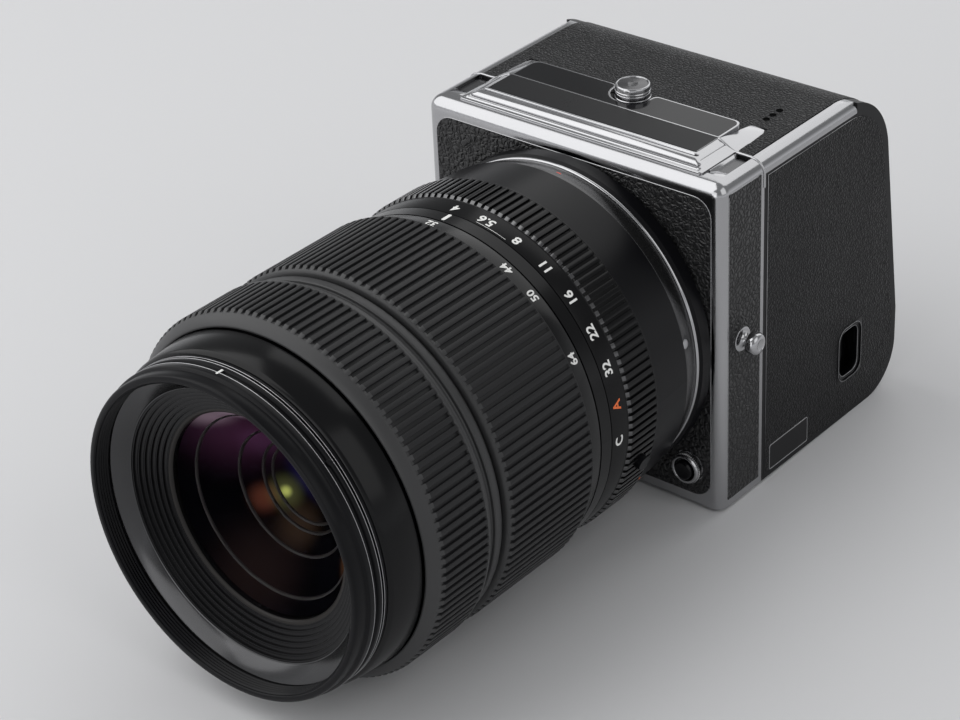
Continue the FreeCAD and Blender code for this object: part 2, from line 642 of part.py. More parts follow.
for sign in ("", "-"):
    # rail rebates along the top edges, and side rebates for the skins
    rebate = rectangle("%s(%s - rail_width)" % (sign, half), "%s(%s + 1)" % (sign, half),
                       "body_depth - 1", "rail_end_depth")
    shell.cut(TOP, polygon(rebate), "body_height - rail_height", "rail_height + 1")
skin_top = "(body_height - rail_height - skin_edge_margin)"
skin_area = [("body_depth + skin_margin", "skin_margin"),
             ("rear_depth - skin_side_inset", "skin_margin"),
             ("rear_depth - skin_side_inset", "slant_bottom_z"),
             (slant_depth(skin_top, "skin_side_inset"), skin_top),
             ("body_depth + skin_margin", skin_top)]


def skin_sheet(name, sign, thickness):
    """A sheet with the skins' outline, from the floor of its rebate outwards."""
    sheet_piece = Piece(name)
    start = "body_width / 2 - skin_recess" if sign > 0 else "-body_width / 2 + skin_recess"
    sheet_piece.pad(SIDE, polygon(skin_area), start, thickness, reverse=(sign < 0))
    sheet_piece.round("skin_bottom_corner",
                      corner_test(0, ("rear_depth - skin_side_inset", "skin_margin")))
    sheet_piece.round("skin_top_corner",
                      corner_test(0, (slant_depth(skin_top, "skin_side_inset"), skin_top)))
    return sheet_piece


top_skin = [("roof_half_width + 0.3", "body_depth + 0.6"),
            ("%s - rail_width - 0.1" % half, "body_depth + 0.6"),
            ("%s - rail_width - 0.1" % half, "skin_top_end_depth"),
            ("-(%s - rail_width - 0.1)" % half, "skin_top_end_depth"),
            ("-(%s - rail_width - 0.1)" % half, "body_depth + 0.6"),
            ("-(roof_half_width + 0.3)", "body_depth + 0.6"),
            ("-(roof_half_width + 0.3)", "body_depth + tail_length + 0.3"),
            ("-(plate_half_width - 0.2)", "body_depth + tail_length + 0.3"),
            ("-(plate_half_width - 0.2)", "plate_rear_depth + 0.2"),
            ("plate_half_width - 0.2", "plate_rear_depth + 0.2"),
            ("plate_half_width - 0.2", "body_depth + tail_length + 0.3"),
            ("roof_half_width + 0.3", "body_depth + tail_length + 0.3")]
shell.cut(TOP, polygon(top_skin), "body_height - skin_recess", "skin_recess + 1")
# openings: knob stem, port, battery bay, card bay, keys
shell.cut(TOP, circle("0", "knob_depth", "knob_stem_radius + free_gap"),
          "body_height - back_ceiling - 1", "back_ceiling + 2")
shell.cut(SIDE, polygon(rectangle("port_depth - port_width / 2 - bezel - fit_gap",
                                  "port_depth + port_width / 2 + bezel + fit_gap",
                                  "port_z - port_height / 2 - bezel - fit_gap",
                                  "port_z + port_height / 2 + bezel + fit_gap")),
          "%s - back_wall - 1" % half, "back_wall + 2")
shell.cut(TOP, polygon(rectangle("battery_left_x - free_gap",
                                 "battery_left_x + battery_width + free_gap",
                                 "battery_front_depth - free_gap",
                                 "battery_front_depth + battery_length + free_gap")),
          "-1", "back_wall + 2")
latch_left = "(battery_left_x + battery_width + 4)"
latch_front = "(battery_front_depth + battery_length / 2 - latch_length / 2)"
shell.cut(TOP, polygon(rectangle(latch_left + " - free_gap",
                                 latch_left + " + latch_width + latch_throw + free_gap",
                                 latch_front + " - free_gap",
                                 latch_front + " + latch_length + free_gap")),
          "-1", "latch_thickness + 1")
shell.cut(SIDE, polygon(rectangle("door_front_depth - door_gap", "door_front_depth + door_length",
                                  "door_bottom_z", "door_bottom_z + door_height")),
          "-(%s + 1)" % half, "back_wall + 2")
door_axis_depth = "(door_front_depth + door_pin_setback)"
door_axis_x = "(-body_width / 2 + door_pin_inset)"
shell.cut(TOP, circle(door_axis_x, door_axis_depth, "door_pin_radius + fit_gap"),
          "door_bottom_z - door_pin_length - fit_gap",
          "door_height + 2 * door_pin_length + 2 * fit_gap")
key_spots = [("(%d - (key_count - 1) / 2) * key_pitch" % index, "key_z")
             for index in range(round(value("key_count")))]
shell.cut(FRONT, circle_row(key_spots, "key_radius + free_gap"), "-(rear_depth + 1)",
          "back_wall + screen_wall + 2")
# Recess for the tilting screen and its hinge's holes, leaned like the rear face
recess = doc.addObject("Part::Box", "screen_recess")
bind(recess, "Length", "2 * (screen_half_width + screen_gap)")
bind(recess, "Width", "screen_thickness + screen_gap + 10")
bind(recess, "Height", "screen_height + screen_gap + screen_top_gap")
bind(recess, "Placement.Base.x", "-(screen_half_width + screen_gap)")
lean(recess, *lean_spot("-screen_gap", "screen_thickness + screen_gap"))


def hinge_rod(name, clearance):
    """A rod on the screen's hinge axis, as thick and as long as a clearance allows."""
    rod = Piece(name)
    rod.pad(SIDE, circle("screen_thickness - hinge_inset", "screen_height - hinge_inset",
                         "hinge_pin_radius + " + clearance), "0",
            "2 * (screen_half_width + screen_gap + hinge_reach + %s)" % clearance, symmetric=True)
    lean(rod.body, *lean_spot("0", "screen_thickness"))
    return rod


hinge_hole = hinge_rod("screen_hinge_hole", "fit_gap")
back_shell = doc.addObject("Part::Cut", "shell_recessed")
back_shell.Base = shell.body
back_shell.Tool = recess
drilled = doc.addObject("Part::Cut", "shell_drilled")
drilled.Base = back_shell
drilled.Tool = hinge_hole.body
rebated = drilled
for sign in (1, -1):
    rebate_tool = skin_sheet("skin_rebate_%d" % (sign + 1), sign, "skin_recess + 1")
    deeper = doc.addObject("Part::Cut", "shell_rebated_%d" % (sign + 1))
    deeper.Base = rebated
    deeper.Tool = rebate_tool.body
    rebated = deeper
doc.recompute()
named(rebated, "back_shell")

# Skins on the back
for side, sign in (("right", 1), ("left", -1)):
    skin = skin_sheet("back_leather_" + side, sign, "skin_thickness")
    if sign > 0:
        skin.cut(SIDE, polygon(rectangle("port_depth - port_width / 2 - bezel - fit_gap",
                                         "port_depth + port_width / 2 + bezel + fit_gap",
                                         "port_z - port_height / 2 - bezel - fit_gap",
                                         "port_z + port_height / 2 + bezel + fit_gap")),
                 "body_width / 2 - 2", "4")
        skin.cut(SIDE, polygon(rectangle("badge_front_depth - fit_gap",
                                         "badge_rear_depth + fit_gap",
                                         "0", "badge_top_z + fit_gap")),
                 "body_width / 2 - 2", "4")
    else:
        skin.cut(SIDE, polygon(rectangle("door_front_depth - door_gap",
                                         "door_front_depth + door_length",
                                         "door_bottom_z", "door_bottom_z + door_height")),
                 "-(body_width / 2 + 2)", "4")
    skin.done()

top_cover = Piece("back_leather_top")
top_cover.pad(TOP, polygon(top_skin), "body_height - skin_recess", "skin_thickness")
top_cover.cut(TOP, circle("0", "knob_depth", "knob_stem_radius + free_gap"), "body_height - 1", "2")
top_cover.done()

# Chrome rails along the top edges of the back
for side, sign in (("right", ""), ("left", "-")):
    strip = Piece("rail_strip_" + side)
    strip.pad(TOP, polygon(rectangle("%s(%s - rail_width)" % (sign, half), "%s(%s)" % (sign, half),
                                     "body_depth", "rail_end_depth")),
              "body_height - rail_height", "rail_height")
    strip.round("top_edge_radius * 0.9", corner_test(1, ("%s(%s)" % (sign, half), "body_height")))
    rail = doc.addObject("Part::MultiCommon", "rail_cut_" + side)
    rail.Shapes = [strip.body, rail_blank.body]
    doc.recompute()
    named(rail, "rail_" + side)

# Roof on the back: dark plate with the knob's notch, and the chrome tails of the molding
rear_plate = Piece("roof_rear_plate")
rear_plate.pad(TOP, polygon(rectangle("-plate_half_width", "plate_half_width", "body_depth",
                                      "plate_rear_depth")),
               "body_height", "roof_rise")
rear_plate.cut(TOP, circle("0", "knob_depth", "notch_radius"), "body_height - 1", "roof_rise + 2")
rear_plate.done()

tail_end = "body_depth + tail_length"
roof_top = "body_height + roof_rise"
tail_low = "body_height + tail_foot"
tail_solids = []
for sign in ("", "-"):
    tail = Piece("tail_%s" % ("right" if sign == "" else "left"))
    tail_plan = [("%s(plate_half_width + fit_gap)" % sign, "body_depth"),
                 ("%sroof_half_width" % sign, "body_depth"),
                 ("%sroof_half_width" % sign, tail_end + " - tail_nose"),
                 ("%s(roof_half_width - tail_nose)" % sign, tail_end),
                 ("%s(plate_half_width + fit_gap)" % sign, tail_end)]
    tail.pad(TOP, polygon(tail_plan), "body_height", "roof_rise")
    # It falls away to the side like the molding, and to the rear until it meets the leather
    across = [("%s(plate_half_width + fit_gap)" % sign, roof_top),
              ("%sroof_half_width" % sign, tail_low),
              ("%s(roof_half_width + 1)" % sign, tail_low),
              ("%s(roof_half_width + 1)" % sign, roof_top + " + 1"),
              ("%s(plate_half_width + fit_gap)" % sign, roof_top + " + 1")]
    tail.cut(FRONT, polygon(across), "-body_depth + 1", "tail_length + 2", reverse=True)
    along = [("body_depth", roof_top), (tail_end, tail_low), (tail_end + " + 1", tail_low),
             (tail_end + " + 1", roof_top + " + 1"), ("body_depth", roof_top + " + 1")]
    tail.cut(SIDE, polygon(along), "-(roof_half_width + 1)", "2 * roof_half_width + 2")
    tail_solids.append(tail.body)
tails = doc.addObject("Part::Compound", "tail_pair")
tails.Links = tail_solids
doc.recompute()
named(tails, "roof_tails")

# Release knob in the notch
knob = turned_part("release_knob", [
    ("0", "body_height - back_ceiling - knob_washer - free_gap"),
    ("knob_stem_radius + knob_washer", "body_height - back_ceiling - knob_washer - free_gap"),
    ("knob_stem_radius + knob_washer", "body_height - back_ceiling - free_gap"),
    ("knob_stem_radius", "body_height - back_ceiling - free_gap"),
    ("knob_stem_radius", "knob_flange_z"), ("knob_flange_radius", "knob_flange_z"),
    ("knob_flange_radius", "knob_flange_z + knob_flange"),
    ("knob_neck_radius", "knob_flange_z + knob_flange"),
    ("knob_neck_radius", "knob_top_z - knob_head"),
    ("knob_head_radius", "knob_top_z - knob_head + (knob_head_radius - knob_neck_radius)"),
    ("knob_head_radius", "knob_top_z"), ("knob_head_radius - knob_rim", "knob_top_z"),
    ("knob_head_radius - knob_rim", "knob_top_z - knob_dish"),
    ("0", "knob_top_z - knob_dish")], "0", "knob_depth", "0", V(1, 0, 0), 90)
knob.done()

# Badge plate, port bezel and the socket behind it
named(box("side_badge", "body_width / 2 - skin_recess",
          "body_width / 2 - skin_recess + badge_thickness",
          "badge_front_depth", "badge_rear_depth", "badge_bottom_z", "badge_top_z"), "side_badge")

port_frame = Piece("port_frame")
port_outer = rectangle("port_depth - port_width / 2 - bezel", "port_depth + port_width / 2 + bezel",
                       "port_z - port_height / 2 - bezel", "port_z + port_height / 2 + bezel")
port_inner = rectangle("port_depth - port_width / 2", "port_depth + port_width / 2",
                       "port_z - port_height / 2", "port_z + port_height / 2")
port_frame.pad(SIDE, polygon(port_outer), "body_width / 2 - port_wall", "port_wall + bezel_proud")
port_frame.cut(SIDE, polygon(port_inner), "body_width / 2 - port_wall - 1", "port_wall + 3")
port_frame.done()

port_socket = Piece("port_socket")
port_socket.pad(SIDE, polygon(port_outer), "body_width / 2 - port_wall - socket_body_depth",
                "socket_body_depth")
port_socket.cut(SIDE, polygon(rectangle("port_depth - 1.6", "port_depth + 1.6", "port_z - 4.6",
                                        "port_z + 4.6")),
                "body_width / 2 - port_wall - socket_body_depth + 1", "socket_body_depth")
port_socket.done()

# Sensor group
carrier_front = "(body_depth + back_wall)"
carrier = Piece("sensor_carrier", z="axis_z")
carrier.pad(FRONT, polygon(rectangle("-carrier_half_width", "carrier_half_width",
                                     "-carrier_half_height", "carrier_half_height")),
            "-" + carrier_front, "carrier_thickness", reverse=True)
carrier.cut(FRONT, polygon(rectangle("-sensor_half_width + carrier_lip",
                                     "sensor_half_width - carrier_lip",
                                     "-sensor_half_height + carrier_lip",
                                     "sensor_half_height - carrier_lip")),
            "0", carrier_front + " + carrier_thickness + 1", reverse=True)
carrier.done()
sensor_front = "(body_depth + back_wall + carrier_thickness)"
named(box("image_sensor", "-sensor_half_width", "sensor_half_width", sensor_front,
          sensor_front + " + sensor_thickness", "axis_z - sensor_half_height",
          "axis_z + sensor_half_height"), "image_sensor")
named(box("sensor_glass", "-sensor_half_width + glass_margin",
          "sensor_half_width - glass_margin", sensor_front + " - glass_thickness", sensor_front,
          "axis_z - sensor_half_height + glass_margin",
          "axis_z + sensor_half_height - glass_margin"), "sensor_glass")
board_front = "(%s + sensor_thickness)" % sensor_front
named(box("main_board", "-board_half_width", "board_half_width", board_front,
          board_front + " + board_thickness", "axis_z - board_half_height",
          "axis_z + board_half_height"), "main_board")

# Battery, its latch, and the card bay
named(box("battery", "battery_left_x", "battery_left_x + battery_width", "battery_front_depth",
          "battery_front_depth + battery_length", "0", "battery_height"), "battery")
named(box("battery_latch", latch_left, latch_left + " + latch_width", latch_front,
          latch_front + " + latch_length", "0", "latch_thickness - free_gap / 2"), "battery_latch")

door = Piece("card_door")
door.pad(TOP, polygon(rectangle("-%s" % half, "-%s + door_thickness" % half, "door_front_depth",
                                "door_front_depth + door_length - free_gap")),
         "door_bottom_z + free_gap", "door_height - 2 * free_gap")
door.pad(TOP, circle(door_axis_x, door_axis_depth, "door_pin_radius"),
         "door_bottom_z - door_pin_length", "door_height + 2 * door_pin_length")
door.done()

card_rear = "(door_front_depth + 3 + card_block_length)"
cards = Piece("card_slots")
cards.pad(SIDE, polygon(rectangle("door_front_depth + 3", card_rear, "door_bottom_z + 2",
                                  "body_height - back_ceiling")),
          "-%s + back_wall + card_block_gap" % half, "card_block_width")
for index in range(2):
    slot_front = "(door_front_depth + 5 + %d * card_slot_pitch)" % index
    cards.cut(SIDE, polygon(rectangle(slot_front, slot_front + " + card_slot_width",
                                      "door_bottom_z + 4", "door_bottom_z + 4 + card_slot_height")),
              "-%s" % half, "card_slot_depth")
cards.done()


# Tilting screen: frame, glass and the hinge pin at its upper edge
frame = Piece("screen_frame")
frame.pad(TOP, polygon(rectangle("-screen_half_width", "screen_half_width", "0",
                                 "screen_thickness")), "0", "screen_height")
frame.round("hinge_edge_radius", corner_test(0, ("screen_thickness", "screen_height"),
                                             ("0", "screen_height")))
frame.cut(SIDE, circle("screen_thickness - hinge_inset", "screen_height - hinge_inset",
                       "hinge_pin_radius + fit_gap"), "0", "body_width", symmetric=True)
frame.cut(FRONT, polygon(rectangle("-screen_half_width + screen_border",
                                   "screen_half_width - screen_border", "screen_border",
                                   "screen_height - screen_border - 2")),
          "-(screen_thickness - screen_glass)", "screen_glass + 1", reverse=True)
lean(frame.body, *lean_spot("0", "screen_thickness"))
frame.done()

glass = Piece("screen_glass")
glass.pad(FRONT, polygon(rectangle("-screen_half_width + screen_border + fit_gap",
                                   "screen_half_width - screen_border - fit_gap",
                                   "screen_border + fit_gap",
                                   "screen_height - screen_border - 2 - fit_gap")),
          "-(screen_thickness - screen_glass)", "screen_glass", reverse=True)
lean(glass.body, *lean_spot("0", "screen_thickness"))
glass.done()

hinge_rod("screen_hinge_pin", "0").done()

# Five keys under the screen
for index, (key_x, key_level) in enumerate(key_spots, start=1):
    key = Piece("rear_key_%d" % index, x=key_x, z=key_level)
    inside = "rear_depth - back_wall - screen_wall"
    key.turn([("0", "rear_depth + key_proud"), ("key_radius - key_edge", "rear_depth + key_proud"),
              ("key_radius", "rear_depth + key_proud - key_edge"),
              ("key_radius", inside + " - key_travel"),
              ("key_flange_radius", inside + " - key_travel"),
              ("key_flange_radius", inside + " - key_travel - key_flange"),
              ("0", inside + " - key_travel - key_flange")])
    key.done()


def lens_piece(name, outline):
    """A turned lens part: outline as radius and distance ahead of the body's front face."""
    piece = Piece(name, z="axis_z")
    piece.turn([(radius, "-(%s)" % ahead) for radius, ahead in outline])
    return piece


def ring_outline(bore, rear, front, outer):
    """A plain ring."""
    return [(bore, rear), (outer, rear), (outer, front), (bore, front)]


# Adapter ring between the body mount and the lens
lens_piece("adapter_ring", [
    ("adapter_bore", "mount_face"), ("adapter_radius", "mount_face"),
    ("adapter_radius", "adapter_waist - adapter_taper"), ("adapter_waist_radius", "adapter_waist"),
    ("adapter_waist_radius", "adapter_waist + adapter_line"), ("adapter_nose_radius", "adapter_front"),
    ("adapter_bore", "adapter_front")]).done()

# Lens: fixed pieces
lens_piece("lens_mount_ring", ring_outline("lens_bore", "adapter_front",
                                           "adapter_front + bayonet_depth",
                                           "bayonet_radius")).done()
lens_piece("rear_barrel", [
    ("bayonet_radius + fit_gap", "adapter_front"), ("rear_barrel_rear_radius", "adapter_front"),
    ("rear_barrel_radius", "rear_barrel_front"), ("rear_barrel_bore", "rear_barrel_front"),
    ("rear_barrel_bore", "adapter_front + bayonet_depth"),
    ("bayonet_radius + fit_gap", "adapter_front + bayonet_depth")]).done()
lens_piece("main_barrel", [
    ("tube_bore", "rear_barrel_front"), ("tube_radius", "rear_barrel_front"),
    ("tube_radius", "index_rear"), ("band_radius", "index_rear"), ("band_radius", "index_front"),
    ("tube_radius", "index_front"), ("tube_radius", "tube_front"),
    ("tube_bore", "tube_front")]).done()
lens_piece("gap_ring", [
    ("tube_radius + fit_gap", "gap_ring_rear"), ("gap_ring_radius", "gap_ring_rear"),
    ("gap_ring_radius", "gap_ring_rear + gap_ring_lip"),
    ("gap_ring_radius - gap_ring_chamfer", "gap_ring_rear + gap_ring_lip + gap_ring_chamfer"),
    ("gap_ring_radius - gap_ring_chamfer", "gap_ring_front"),
    ("tube_radius + fit_gap", "gap_ring_front")]).done()


def toothed_sleeve(name, bore, crest, rear, front, count):
    """A sleeve with rounded ribs along it, set out evenly round the lens axis."""
    teeth = round(value(count))
    top, low = value(crest), value(crest) - value("rib_height")
    start, length = value(rear), value(front) - value(rear)
    pitch = 2 * math.pi / teeth
    rim = []
    for tooth in range(teeth):
        for share, radius in ((0.0, low), (0.22, low), (0.38, top), (0.84, top)):
            angle = (tooth + share) * pitch
            rim.append(V(radius * math.sin(angle), 0, radius * math.cos(angle)))
    wire = Part.makePolygon(rim + [rim[0]])
    hole = Part.Wire(Part.makeCircle(value(bore), V(0, 0, 0), V(0, 1, 0)))
    face = Part.makeFace([wire, hole], "Part::FaceMakerBullseye")
    sleeve = doc.addObject("Part::Feature", name)
    sleeve.Shape = face.extrude(V(0, -length, 0))
    place(sleeve, z="axis_z", y="-(%s)" % rear)
    return sleeve


def ribbed_ring(name, bore, bands, crest, rear, front, count):
    """A turned ring joined to its ribbed grip; bands are the smooth parts beside the grip."""
    smooth = [lens_piece("%s_band_%d" % (name, index), outline).body
              for index, outline in enumerate(bands)]
    grip = toothed_sleeve(name + "_grip", bore, crest, rear, front, count)
    ring = doc.addObject("Part::MultiFuse", name + "_joined")
    ring.Shapes = smooth + [grip]
    doc.recompute()
    return named(ring, name)


ring_bore = "tube_radius + ring_gap"

# Lens: turning rings
aperture_bands = [ring_outline(ring_bore, "aperture_grip_front", "index_rear - ring_gap",
                               "band_radius")]
aperture_rear = "rear_barrel_front + ring_gap"
aperture_blank = ribbed_ring("aperture_ring", ring_bore, aperture_bands, "aperture_grip_radius",
                             aperture_rear, "aperture_grip_front", "aperture_rib_count")
NODES.remove(aperture_blank)
aperture_blank.Label = "aperture_ring_undrilled"


def radial_pin(name, radius, outer, inner):
    """A short cylinder pointing out from the lens axis at the lock's angle."""
    post = doc.addObject("Part::Cylinder", name)
    bind(post, "Radius", radius)
    bind(post, "Height", "(%s) - (%s)" % (outer, inner))
    post.Placement.Rotation = FreeCAD.Rotation(V(0, 1, 0), value("lock_angle"))
    bind(post, "Placement.Rotation.Angle", "lock_angle")
    bind(post, "Placement.Base.x", "(%s) * sin(lock_angle)" % inner)
    bind(post, "Placement.Base.y", "-lock_ahead - socket_setback")
    bind(post, "Placement.Base.z", "axis_z + (%s) * cos(lock_angle)" % inner)
    return post


lock_hole = radial_pin("lock_hole", "lock_radius + free_gap / 2", "aperture_grip_radius + 2",
                       "aperture_grip_radius - lock_depth")
aperture_ring = doc.addObject("Part::Cut", "aperture_ring_drilled")
aperture_ring.Base = aperture_blank
aperture_ring.Tool = lock_hole
doc.recompute()
named(aperture_ring, "aperture_ring")
lock_button = radial_pin("aperture_lock", "lock_radius", "aperture_grip_radius + lock_proud",
                         "aperture_grip_radius - lock_depth + lock_proud * 0.7")
doc.recompute()
named(lock_button, "aperture_lock_button")

zoom_bands = [ring_outline(ring_bore, "index_front + ring_gap", "zoom_band_front", "band_radius"),
              ring_outline(ring_bore, "zoom_grip_front", "zoom_front", "lip_radius")]
ribbed_ring("zoom_ring", ring_bore, zoom_bands, "grip_radius", "zoom_band_front",
            "zoom_grip_front", "zoom_rib_count")
focus_bands = [
    ring_outline(ring_bore, "gap_ring_front + ring_gap", "focus_grip_rear", "lip_radius"),
    [(ring_bore, "focus_grip_front"), ("lip_radius", "focus_grip_front"),
     ("lip_radius", "focus_lip_front"), ("focus_nose_radius", "focus_front"),
     (ring_bore, "focus_front")]]
ribbed_ring("focus_ring", ring_bore, focus_bands, "grip_radius", "focus_grip_rear",
            "focus_grip_front", "focus_rib_count")

# Lens: the front group that slides out when the zoom ring turns
lens_piece("front_barrel", [
    ("sleeve_bore", "sleeve_rear"), ("sleeve_radius", "sleeve_rear"),
    ("sleeve_radius", "name_band_rear"), ("name_band_rear_radius", "name_band_rear"),
    ("name_band_front_radius", "name_band_front"),
    ("hood_ring_radius", "name_band_front + hood_taper"),
    ("hood_ring_radius", "lens_front - rim_depth - rim_taper"),
    ("rim_radius", "lens_front - rim_depth"), ("rim_radius", "lens_front"),
    ("filter_radius", "lens_front"),
    ("filter_radius", "lens_front - filter_depth"), ("sleeve_bore", "lens_front - filter_depth")
    ]).done()

steps = round(value("baffle_step_count"))
baffle_outline = [("sleeve_bore - fit_gap", "cell_front"),
                  ("sleeve_bore - fit_gap", "lens_front - filter_depth"),
                  ("filter_radius", "lens_front - filter_depth"),
                  ("cone_inner_radius", "cone_rear")]
for index in range(steps):
    rise = "(cone_inner_radius - baffle_step_radius) / baffle_step_count"
    fall = "(cone_rear - baffle_seat) / baffle_step_count"
    baffle_outline.append(("cone_inner_radius - %d * %s" % (index, rise),
                           "cone_rear - %d * %s" % (index + 1, fall)))
    baffle_outline.append(("cone_inner_radius - %d * %s" % (index + 1, rise),
                           "cone_rear - %d * %s" % (index + 1, fall)))
baffle_outline += [("front_glass_radius + 0.6", "baffle_seat"),
                   ("front_glass_radius + 0.6", "cell_front")]
lens_piece("front_baffle", baffle_outline).done()


def lens_element(name, radius, rim_rear, rim_front, sag):
    """A glass element: a disc whose front bulges by a spherical cap."""
    curve = "(((%s) * (%s) + (%s) * (%s)) / (2 * (%s)))" % (radius, radius, sag, sag, sag)
    ball = doc.addObject("Part::Sphere", name + "_ball")
    bind(ball, "Radius", curve)
    bind(ball, "Placement.Base.y", "-(%s) - (%s) + %s - socket_setback" % (rim_front, sag, curve))
    bind(ball, "Placement.Base.z", "axis_z")
    column = doc.addObject("Part::Cylinder", name + "_column")
    bind(column, "Radius", radius)
    bind(column, "Height", "(%s) - (%s) + (%s) + 1" % (rim_front, rim_rear, sag))
    column.Placement.Rotation = FreeCAD.Rotation(V(1, 0, 0), 90)
    bind(column, "Placement.Base.y", "-(%s) - socket_setback" % rim_rear)
    bind(column, "Placement.Base.z", "axis_z")
    cap = doc.addObject("Part::MultiCommon", name + "_cap")
    cap.Shapes = [ball, column]
    doc.recompute()
    return cap


front_glass = lens_element("front_element", "front_glass_radius + 0.6 - fit_gap",
                           "baffle_seat - front_glass_rim - front_glass_sag",
                           "baffle_seat - 0.4", "front_glass_sag")
named(front_glass, "front_element")

lens_piece("optics_cell", ring_outline("inner_glass_radius + fit_gap", "cell_rear", "cell_front",
                                       "sleeve_bore - fit_gap")).done()
inner_pair = []
for index in range(2):
    rear = "inner_glass_rear + %d * inner_glass_pitch" % index
    disc = doc.addObject("Part::Cylinder", "inner_glass_%d" % index)
    bind(disc, "Radius", "inner_glass_radius")
    bind(disc, "Height", "inner_glass_thickness")
    disc.Placement.Rotation = FreeCAD.Rotation(V(1, 0, 0), 90)
    bind(disc, "Placement.Base.y", "-(%s) - socket_setback" % rear)
    bind(disc, "Placement.Base.z", "axis_z")
    inner_pair.append(disc)
inner_glasses = doc.addObject("Part::Compound", "inner_glass_pair")
inner_glasses.Links = inner_pair
doc.recompute()
named(inner_glasses, "inner_elements")

lens_piece("iris_unit", [
    ("rear_glass_radius + fit_gap", "rear_cell_rear"),
    ("rear_glass_radius + iris_plate", "rear_cell_rear"),
    ("rear_glass_radius + iris_plate", "rear_barrel_front - iris_plate"),
    ("rear_barrel_bore - fit_gap", "rear_barrel_front - iris_plate"),
    ("rear_barrel_bore - fit_gap", "rear_barrel_front"), ("tube_bore - ring_gap", "iris_rear"),
    ("tube_bore - ring_gap", "iris_front"), ("iris_bore", "iris_front"),
    ("iris_bore", "iris_front - iris_plate"),
    ("rear_glass_radius + fit_gap", "iris_front - 2 * iris_plate")]).done()
rear_disc = doc.addObject("Part::Cylinder", "rear_glass")
bind(rear_disc, "Radius", "rear_glass_radius")
bind(rear_disc, "Height", "rear_glass_thickness")
rear_disc.Placement.Rotation = FreeCAD.Rotation(V(1, 0, 0), 90)
bind(rear_disc, "Placement.Base.y", "-(rear_cell_rear + 1) - socket_setback")
bind(rear_disc, "Placement.Base.z", "axis_z")
doc.recompute()
named(rear_disc, "rear_element")

# Checks, then one file for each sub-part
doc.recompute()
faults = ["%s: %s" % (item.Name, item.State) for item in doc.Objects
          if "Invalid" in item.State or "Error" in item.State]
for node in NODES:
    if node.Shape.isNull() or not node.Shape.isValid() or not node.Shape.Solids:
        faults.append("%s has no valid solid" % node.Label)
if faults:
    raise RuntimeError("; ".join(faults))
os.makedirs("parts", exist_ok=True)
for node in NODES:
    node.Shape.exportStep("parts/%s.step" % node.Label)
print("%d sub-parts written" % len(NODES))
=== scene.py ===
"""Looks of a modular medium format camera: thin chrome body, digital back, adapter and zoom lens.

Sizes are in millimetres in two datums, and at() and on_lens() turn them into the frame's metres.
The body's datum has its centre line, front face and base plane. The lens's datum has the radius
from the optical axis, the distance ahead of the body's front face, and an angle from the top
towards +X. A turned piece's section lists its corners as radius and distance.
"""

import logging
import math
from dataclasses import dataclass
from enum import Enum
from typing import Callable, Sequence

import bmesh
import bpy
from mathutils import Matrix, Vector


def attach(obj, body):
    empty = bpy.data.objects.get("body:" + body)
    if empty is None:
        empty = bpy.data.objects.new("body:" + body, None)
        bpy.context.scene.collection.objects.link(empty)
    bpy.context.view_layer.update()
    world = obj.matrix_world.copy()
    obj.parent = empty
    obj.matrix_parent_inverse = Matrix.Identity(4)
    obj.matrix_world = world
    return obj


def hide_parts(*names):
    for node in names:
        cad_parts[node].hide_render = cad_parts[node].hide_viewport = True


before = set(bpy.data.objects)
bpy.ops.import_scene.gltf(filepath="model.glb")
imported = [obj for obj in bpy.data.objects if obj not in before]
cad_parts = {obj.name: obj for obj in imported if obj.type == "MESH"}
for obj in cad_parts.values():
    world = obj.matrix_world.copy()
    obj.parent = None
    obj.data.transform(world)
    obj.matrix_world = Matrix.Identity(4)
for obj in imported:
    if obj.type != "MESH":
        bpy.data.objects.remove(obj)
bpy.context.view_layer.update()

logging.basicConfig(level=logging.INFO, format="%(name)s: %(message)s")
LOG = logging.getLogger("camera")

MM = 0.001
FULL_TURN = 2 * math.pi
# Places in the frame: the body's front face, the optical axis, the body's top, the back's seam.
SETBACK = 9.0
AXIS_Z = 44.2
TOP = 90.8
SEAM = 17.5
SIDE = 45.5
# Faces round the turned pieces.
RING_STEPS = 216
SLEEVE_STEPS = 244
GLASS_STEPS = 144
KNOB_STEPS = 96
DISC_STEPS = 72
BUTTON_STEPS = 60
CATCH_STEPS = 32
HOLE_STEPS = 24
# In metres: vertices nearer than MERGE become one, and places nearer than TINY are the same.
MERGE = 2e-6
TINY = 1e-6

Spot = tuple[float, float]
Triple = tuple[float, float, float]
Piece = bpy.types.Object
Node = bpy.types.Node
Socket = bpy.types.NodeSocket


def at(x: float, y: float, z: float) -> Vector:
    """A spot in the body's datum, in the frame's metres."""
    return Vector((x, y - SETBACK, z)) * MM


def on_lens(radius: float, ahead: float, angle: float = 0.0) -> Vector:
    """A spot in the lens's datum, in the frame's metres; the angle is in degrees."""
    turn = math.radians(angle)
    return at(radius * math.sin(turn), -ahead, AXIS_Z + radius * math.cos(turn))


def outward(angle: float) -> Vector:
    """The direction away from the optical axis at an angle in degrees."""
    return (on_lens(1, 0, angle) - on_lens(0, 0, angle)).normalized()


class Grain(Enum):
    """The fine texture of a surface."""

    POLISHED = "polished"
    SATIN = "satin"
    TURNED = "turned"
    PEBBLE = "pebble"
    RUBBER = "rubber"
    MOULDED = "moulded"


class Fade(Enum):
    """How a value falls from one to nothing."""

    LINEAR = "LINEAR"
    SMOOTH = "SMOOTHSTEP"
    SMOOTHER = "SMOOTHERSTEP"


